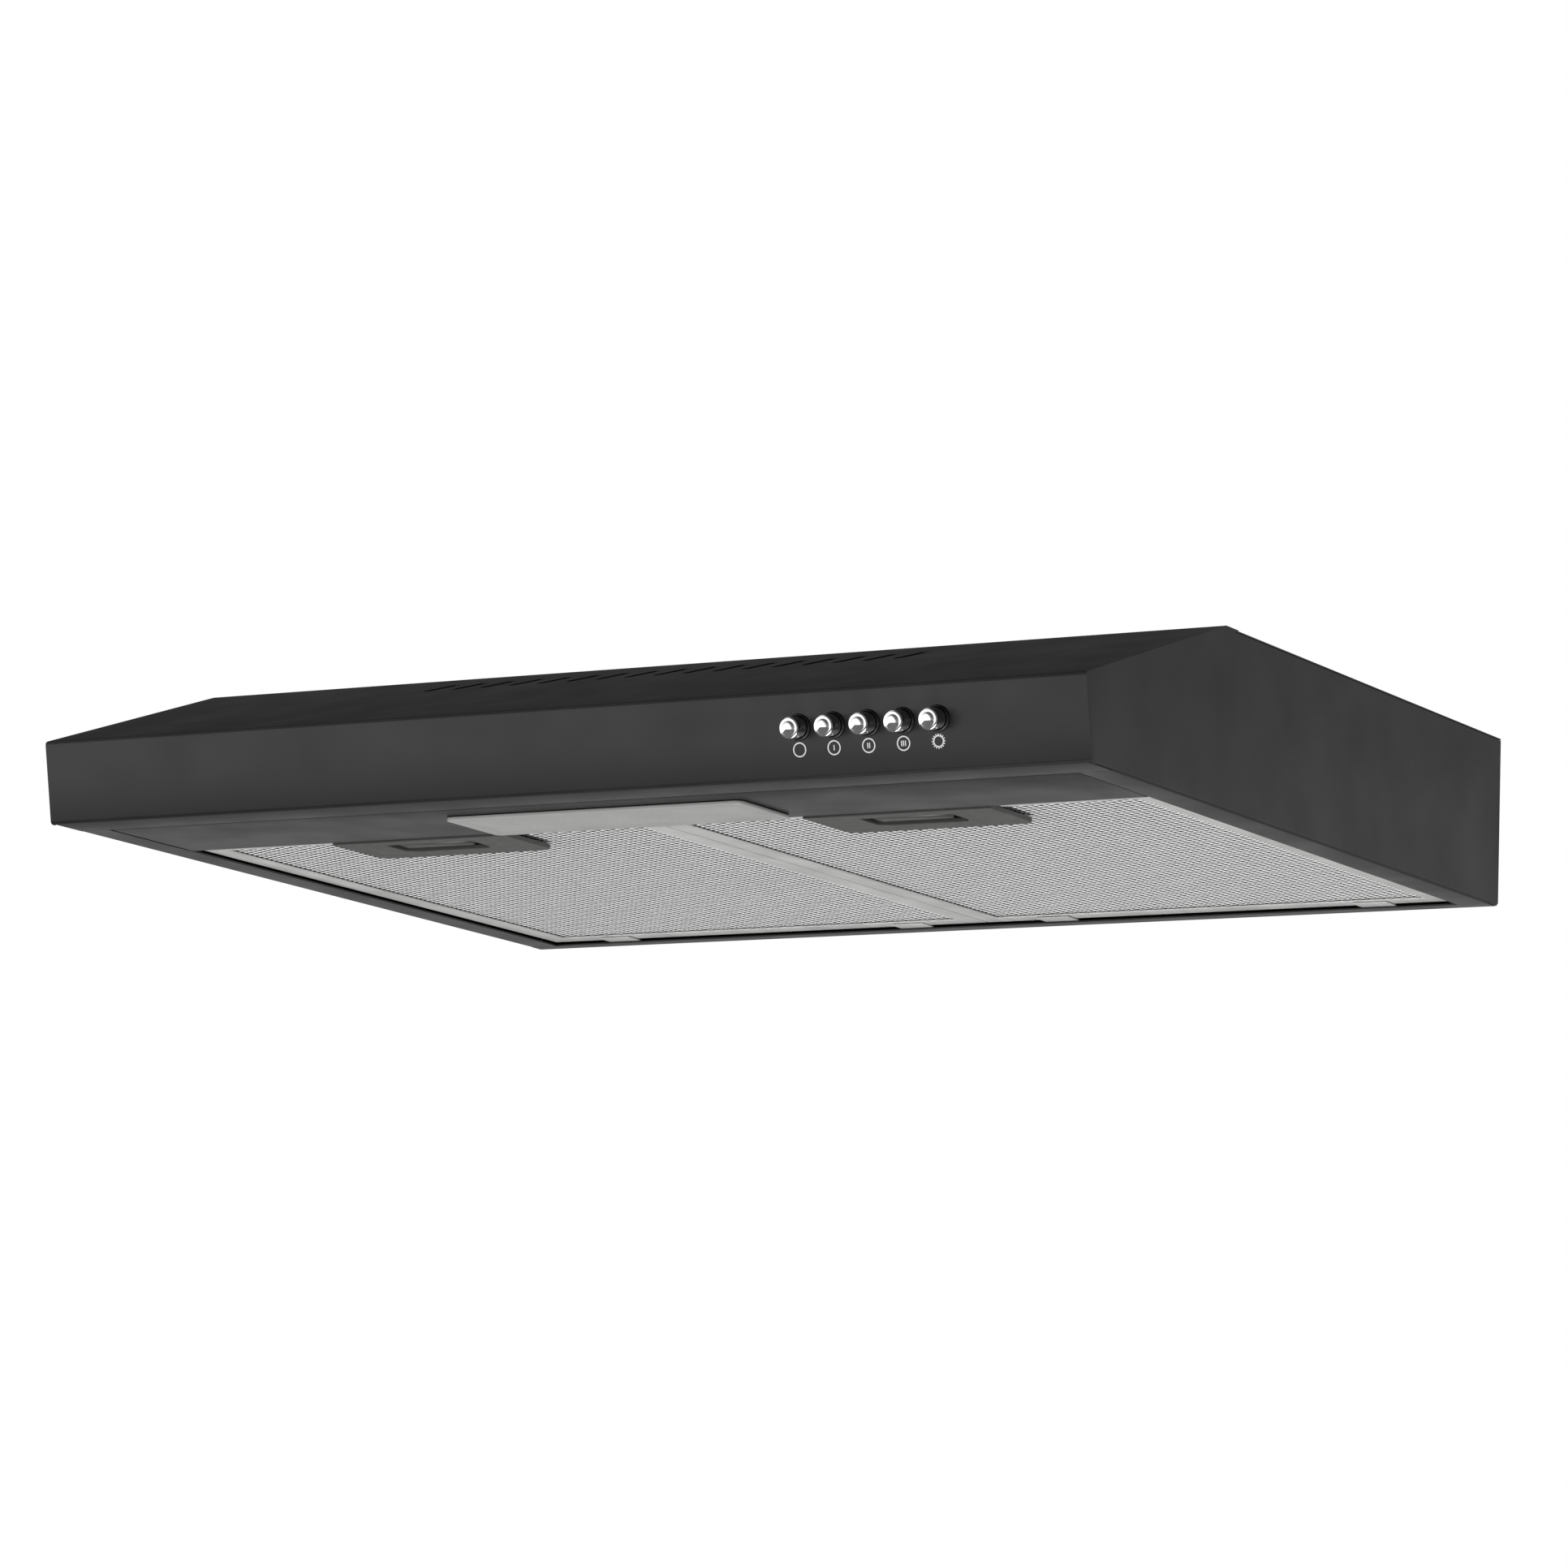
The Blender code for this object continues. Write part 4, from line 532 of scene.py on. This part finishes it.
def coil(start, direction, length, radius, turns, wire):
    """A compression spring's wire from start along direction, with its turns a little closer at the ends."""
    axis = Vector(direction).normalized()
    side = axis.orthogonal().normalized()
    other = axis.cross(side)
    points = []
    count = int(turns * 20)
    for i in range(count + 1):
        share = i / count
        rise = wire + (length - 2 * wire) * (share + 0.07 * -sin(tau * share) / 2)
        angle = tau * turns * share
        points.append(Vector(start) + axis * rise + radius * (cos(angle) * side + sin(angle) * other))
    return tube(points, wire, 8)


def make_button_spring(i):
    start = BUTTON_SEAT + 0.0003
    length = 0.0197 - start
    place = button_frame(i)
    inward = place.to_3x3() @ Vector((0, 0, 1))
    origin = place @ Vector((0, 0, start))
    name = BUTTONS[i] + "_coil"
    piece = new_piece(name, *coil(origin, inward, length, 0.0034, 5.5, 0.0003), "spring")
    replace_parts(piece, BUTTONS[i] + "_spring")
    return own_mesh(piece)


def ring_marks(i):
    """The printed mark under a button: a ring, with one to three bars, or a toothed ring."""
    place = fascia_frame(BUTTON_FIRST_X + i * BUTTON_PITCH - MARK_SHIFT, MARK_RISE)
    is_lamp = BUTTONS[i] == "button_lamp"
    stroke = MARK_STROKE
    radius = LAMP_MARK_RADIUS if is_lamp else MARK_RADIUS
    top, bottom = -MARK_THICKNESS, 0.00002
    parts = []
    profile = [(radius - stroke, bottom), (radius - stroke, top), (radius, top), (radius, bottom)]
    parts.append(lathe(profile, 64, True))
    bars = (0, 1, 2, 3, 0)[i]
    for k in range(bars):
        x = (k - (bars - 1) / 2) * 0.00105
        parts.append(block((x - 0.00026, -0.0013, top), (x + 0.00026, 0.0013, bottom)))
    if is_lamp:
        for k in range(MARK_TEETH):
            turn = Matrix.Rotation(tau * k / MARK_TEETH, 4, "Z")
            parts.append(block((radius - 0.0001, -0.0003, top), (radius + 0.0007, 0.0003, bottom), turn))
    piece = new_piece(BUTTONS[i] + "_mark", *placed(joined(parts), place), look=INK, smooth=False)
    return piece


# ---------------------------------------------------------------- lamp cover


def make_lens():
    """A tray with rounded rim, moulded border, corner pips and a slightly dished panel."""
    low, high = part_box("lamp_lens")
    corner = 0.004
    skin = 0.0012
    bottom, top = low.z, high.z
    outline = ((low.x, low.y), (high.x, high.y), [corner] * 4)
    levels = [
        (skin, top - 0.0004),
        (skin - 0.0003, top),
        (0.0003, top),
        (0.0, top - 0.0003),
        (0.0, bottom + 0.0006),
        (0.0002, bottom + 0.0002),
        (0.0006, bottom),
        (0.0032, bottom),
        (0.0036, bottom + 0.0002),
        (0.0044, bottom + 0.0002),
        (0.0048, bottom),
        (0.0062, bottom),
        (0.0070, bottom + 0.0005),
        (0.0100, bottom + 0.0006),
        (0.0240, bottom + 0.0004),
    ]
    under = [shrunk_outline(*outline, amount, z) for amount, z in levels]
    inner = [shrunk_outline(*outline, skin, z) for z in (top - 0.0004, bottom + skin)]
    parts = [loft(under, cap_start=False), loft(inner, cap_start=False)]
    middle = (low.x + high.x) / 2, (low.y + high.y) / 2
    for sx in (-1, 1):
        for sy in (-1, 1):
            x = middle[0] + sx * ((high.x - low.x) / 2 - 0.0042)
            y = middle[1] + sy * ((high.y - low.y) / 2 - 0.0042)
            pip = [(0.0012, 0.0003), (0.0011, -0.00005), (0.0008, -0.0002), (0.0, -0.00025)]
            parts.append(placed(lathe(pip, 24), Matrix.Translation((x, y, bottom + 0.0002))))
    piece = new_piece("lamp_cover", *joined(parts), "lens", body="lamp_lens")
    weld(piece, "seams", 0.000005)
    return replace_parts(piece, "lamp_lens")


# ---------------------------------------------------------------- grease filters

MESH_PITCH_X = 0.0086
MESH_PITCH_Y = 0.0045
FRONT_STRAND = 0.00026
BACK_STRAND = 0.0002


def expanded_metal(low, high, z, gaps, half_x, half_y, tilt, shift=(0.0, 0.0), flip=1):
    """Strands and bonds of expanded metal over a rectangle, leaving out the gaps."""
    step_x, step_y = MESH_PITCH_X / 2, MESH_PITCH_Y / 2
    count_x = int((high[0] - low[0]) / step_x)
    count_y = int((high[1] - low[1]) / step_y)
    start_x = (low[0] + high[0] - count_x * step_x) / 2 + shift[0]
    start_y = (low[1] + high[1] - count_y * step_y) / 2 + shift[1]
    vertices, faces, places = [], [], {}
    for i in range(count_x + 1):
        for j in range(i % 2, count_y + 1, 2):
            x, y = start_x + i * step_x, start_y + j * step_y
            inside = low[0] + half_x <= x <= high[0] - half_x and low[1] + half_y <= y <= high[1] - half_y
            in_gap = any(g[0] < x < g[2] and g[1] < y < g[3] for g in gaps)
            if not inside or in_gap:
                continue
            places[i, j] = len(vertices)
            vertices += [
                (x - half_x, y, z),
                (x, y - half_y, z - tilt * flip),
                (x + half_x, y, z),
                (x, y + half_y, z + tilt * flip),
            ]
    for (i, j), k in places.items():
        faces.append([k, k + 1, k + 2, k + 3])
        above = places.get((i + 1, j + 1))
        below = places.get((i + 1, j - 1))
        if above is not None:
            faces.append([k + 2, above + 1, above, k + 3])
        if below is not None:
            faces.append([k + 1, below, below + 3, k + 2])
    return vertices, faces


def make_filter_mesh(side):
    """A sheet of expanded aluminium in front of a turned-over inner sheet coloured dark grey as painted shade
    for the filter's shadowed inner layers.
    """
    low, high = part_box(side + "_filter_mesh")
    handle_low, handle_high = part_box(side + "_filter_handle")
    frame_low, frame_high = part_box(side + "_filter_frame")
    middle = (handle_low.x + handle_high.x) / 2
    gap = (middle - 0.0275, low.y - 1, middle + 0.0275, frame_low.y + 0.0435)
    edges = ((low.x, low.y), (high.x, high.y))
    front = expanded_metal(*edges, low.z + 0.00042, [gap], 0.0015, 0.00085, 0.0003)
    piece = new_piece(side + "_filter_front_mesh", *front, "filter_mesh", body=side + "_filter", smooth=False)
    thicken(piece, FRONT_STRAND)
    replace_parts(piece, side + "_filter_mesh")
    # The inner sheet is a real second layer; its dark grey colour is painted shade.
    back = expanded_metal(
        *edges, high.z - 0.0003, [gap], 0.0012, 0.0009, 0.00028, (0.0013, 0.0011), -1
    )
    piece = new_piece(
        side + "_filter_back_mesh", *back, look=SHADE_PAINTED_INNER_MESH, body=side + "_filter", smooth=False
    )
    thicken(piece, BACK_STRAND)


def make_latch_spring(side):
    low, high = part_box(side + "_latch_spring")
    middle = (low + high) / 2
    length = high.y - low.y
    start = (middle.x, low.y, middle.z)
    part = coil(start, (0, 1, 0), length, 0.0020, 8, 0.00028)
    piece = new_piece(side + "_latch_coil", *part, "spring", body=side + "_filter")
    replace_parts(piece, side + "_latch_spring")
    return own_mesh(piece)


# ---------------------------------------------------------------- stage, light and camera


def make_floor():
    """A wide pale floor well below, so that nothing hides the hood from underneath."""
    half, z = 9.0, -3.4
    mesh = bpy.data.meshes.new("floor")
    corners = [(-half, -half, z), (half, -half, z), (half, half, z), (-half, half, z)]
    mesh.from_pydata(corners, [], [[0, 1, 2, 3]])
    floor = bpy.data.objects.new("floor", mesh)
    bpy.context.scene.collection.objects.link(floor)
    look = Look("pale_floor", 0.0, 0.8)
    look.colour(look.noise(0.8, 2.0), grey(0.80), grey(0.84))
    mesh.materials.append(look.material)


def make_world():
    """White to the camera; light and reflections come from the soft patches of STUDIO."""
    world = bpy.data.worlds.new("studio")
    bpy.context.scene.world = world
    world.use_nodes = True
    nodes, links = world.node_tree.nodes, world.node_tree.links
    nodes.clear()
    place = nodes.new("ShaderNodeTexCoord").outputs["Generated"]

    def glow(direction, start, end, strength):
        """A soft-edged bright patch round a direction."""
        dot = nodes.new("ShaderNodeVectorMath")
        dot.operation = "DOT_PRODUCT"
        dot.inputs[1].default_value = Vector(direction).normalized()
        links.new(place, dot.inputs[0])
        spread = nodes.new("ShaderNodeMapRange")
        spread.interpolation_type = "SMOOTHSTEP"
        for socket, value in zip(("From Min", "From Max", "To Max"), (start, end, strength)):
            spread.inputs[socket].default_value = value
        links.new(dot.outputs["Value"], spread.inputs["Value"])
        return spread.outputs["Result"]

    total = None
    for patch in STUDIO:
        level = glow(*patch)
        if total is None:
            total = level
            continue
        add = nodes.new("ShaderNodeMath")
        links.new(total, add.inputs[0])
        links.new(level, add.inputs[1])
        total = add.outputs["Value"]
    studio = nodes.new("ShaderNodeBackground")
    links.new(total, studio.inputs["Strength"])
    backdrop = nodes.new("ShaderNodeBackground")
    backdrop.inputs["Color"].default_value = (1.0, 1.0, 1.0, 1.0)
    ray = nodes.new("ShaderNodeLightPath")
    mix = nodes.new("ShaderNodeMixShader")
    links.new(ray.outputs["Is Camera Ray"], mix.inputs["Fac"])
    links.new(studio.outputs["Background"], mix.inputs[1])
    links.new(backdrop.outputs["Background"], mix.inputs[2])
    output = nodes.new("ShaderNodeOutputWorld")
    links.new(mix.outputs["Shader"], output.inputs["Surface"])


# Each patch: its direction, the cosines at which it starts and is full, and its strength
STUDIO = (
    ((0, 0, 1), -2.0, -1.5, 0.14),
    ((0, -0.3, -1), 0.0, 1.0, 0.35),
    ((-0.5, 0.80, -0.6), 0.78, 0.97, 0.66),
    ((0.5, 0.80, -0.34), 0.66, 1.0, 0.78),
    ((-0.60, -0.74, -0.30), 0.70, 0.88, 1.9),
    ((-0.5, -0.4, 0.76), 0.93, 0.97, 0.8),
)


def add_light(name, place, target, size, power):
    data = bpy.data.lights.new(name, "AREA")
    data.shape = "RECTANGLE"
    data.size, data.size_y = size
    data.energy = power
    light = bpy.data.objects.new(name, data)
    bpy.context.scene.collection.objects.link(light)
    facing = (Vector(target) - Vector(place)).to_track_quat("-Z", "Y")
    light.matrix_world = Matrix.Translation(place) @ facing.to_matrix().to_4x4()


def make_camera():
    back = Vector(
        (sin(AZIMUTH) * cos(ELEVATION), -cos(AZIMUTH) * cos(ELEVATION), sin(ELEVATION))
    )
    right = (-back).cross(Vector((0, 0, 1))).normalized()
    down = (-back).cross(right)
    turned_right = cos(ROLL) * right + sin(ROLL) * down
    turned_down = -sin(ROLL) * right + cos(ROLL) * down
    rotation = Matrix((turned_right, -turned_down, back)).transposed()
    data = bpy.data.cameras.new("camera")
    data.lens = LENS_MM
    data.sensor_width = SENSOR_MM
    data.clip_end = 100.0
    camera = bpy.data.objects.new("camera", data)
    bpy.context.scene.collection.objects.link(camera)
    camera.matrix_world = Matrix.Translation(TARGET + back * DISTANCE) @ rotation.to_4x4()
    bpy.context.scene.camera = camera


# ---------------------------------------------------------------- the scene

finish_cad_nodes()
for i in range(len(BUTTONS)):
    make_button(i)
    make_button_spring(i)
    ring_marks(i)
make_switch_bank()
make_lens()
for side in SIDES:
    make_filter_mesh(side)
    make_latch_spring(side)
make_floor()
make_world()
add_light("under_softbox", (0.6, -0.9, -2.6), (0, 0.1, -0.09), (2.2, 2.2), 88)
make_camera()
bpy.context.scene.view_settings.view_transform = "Standard"
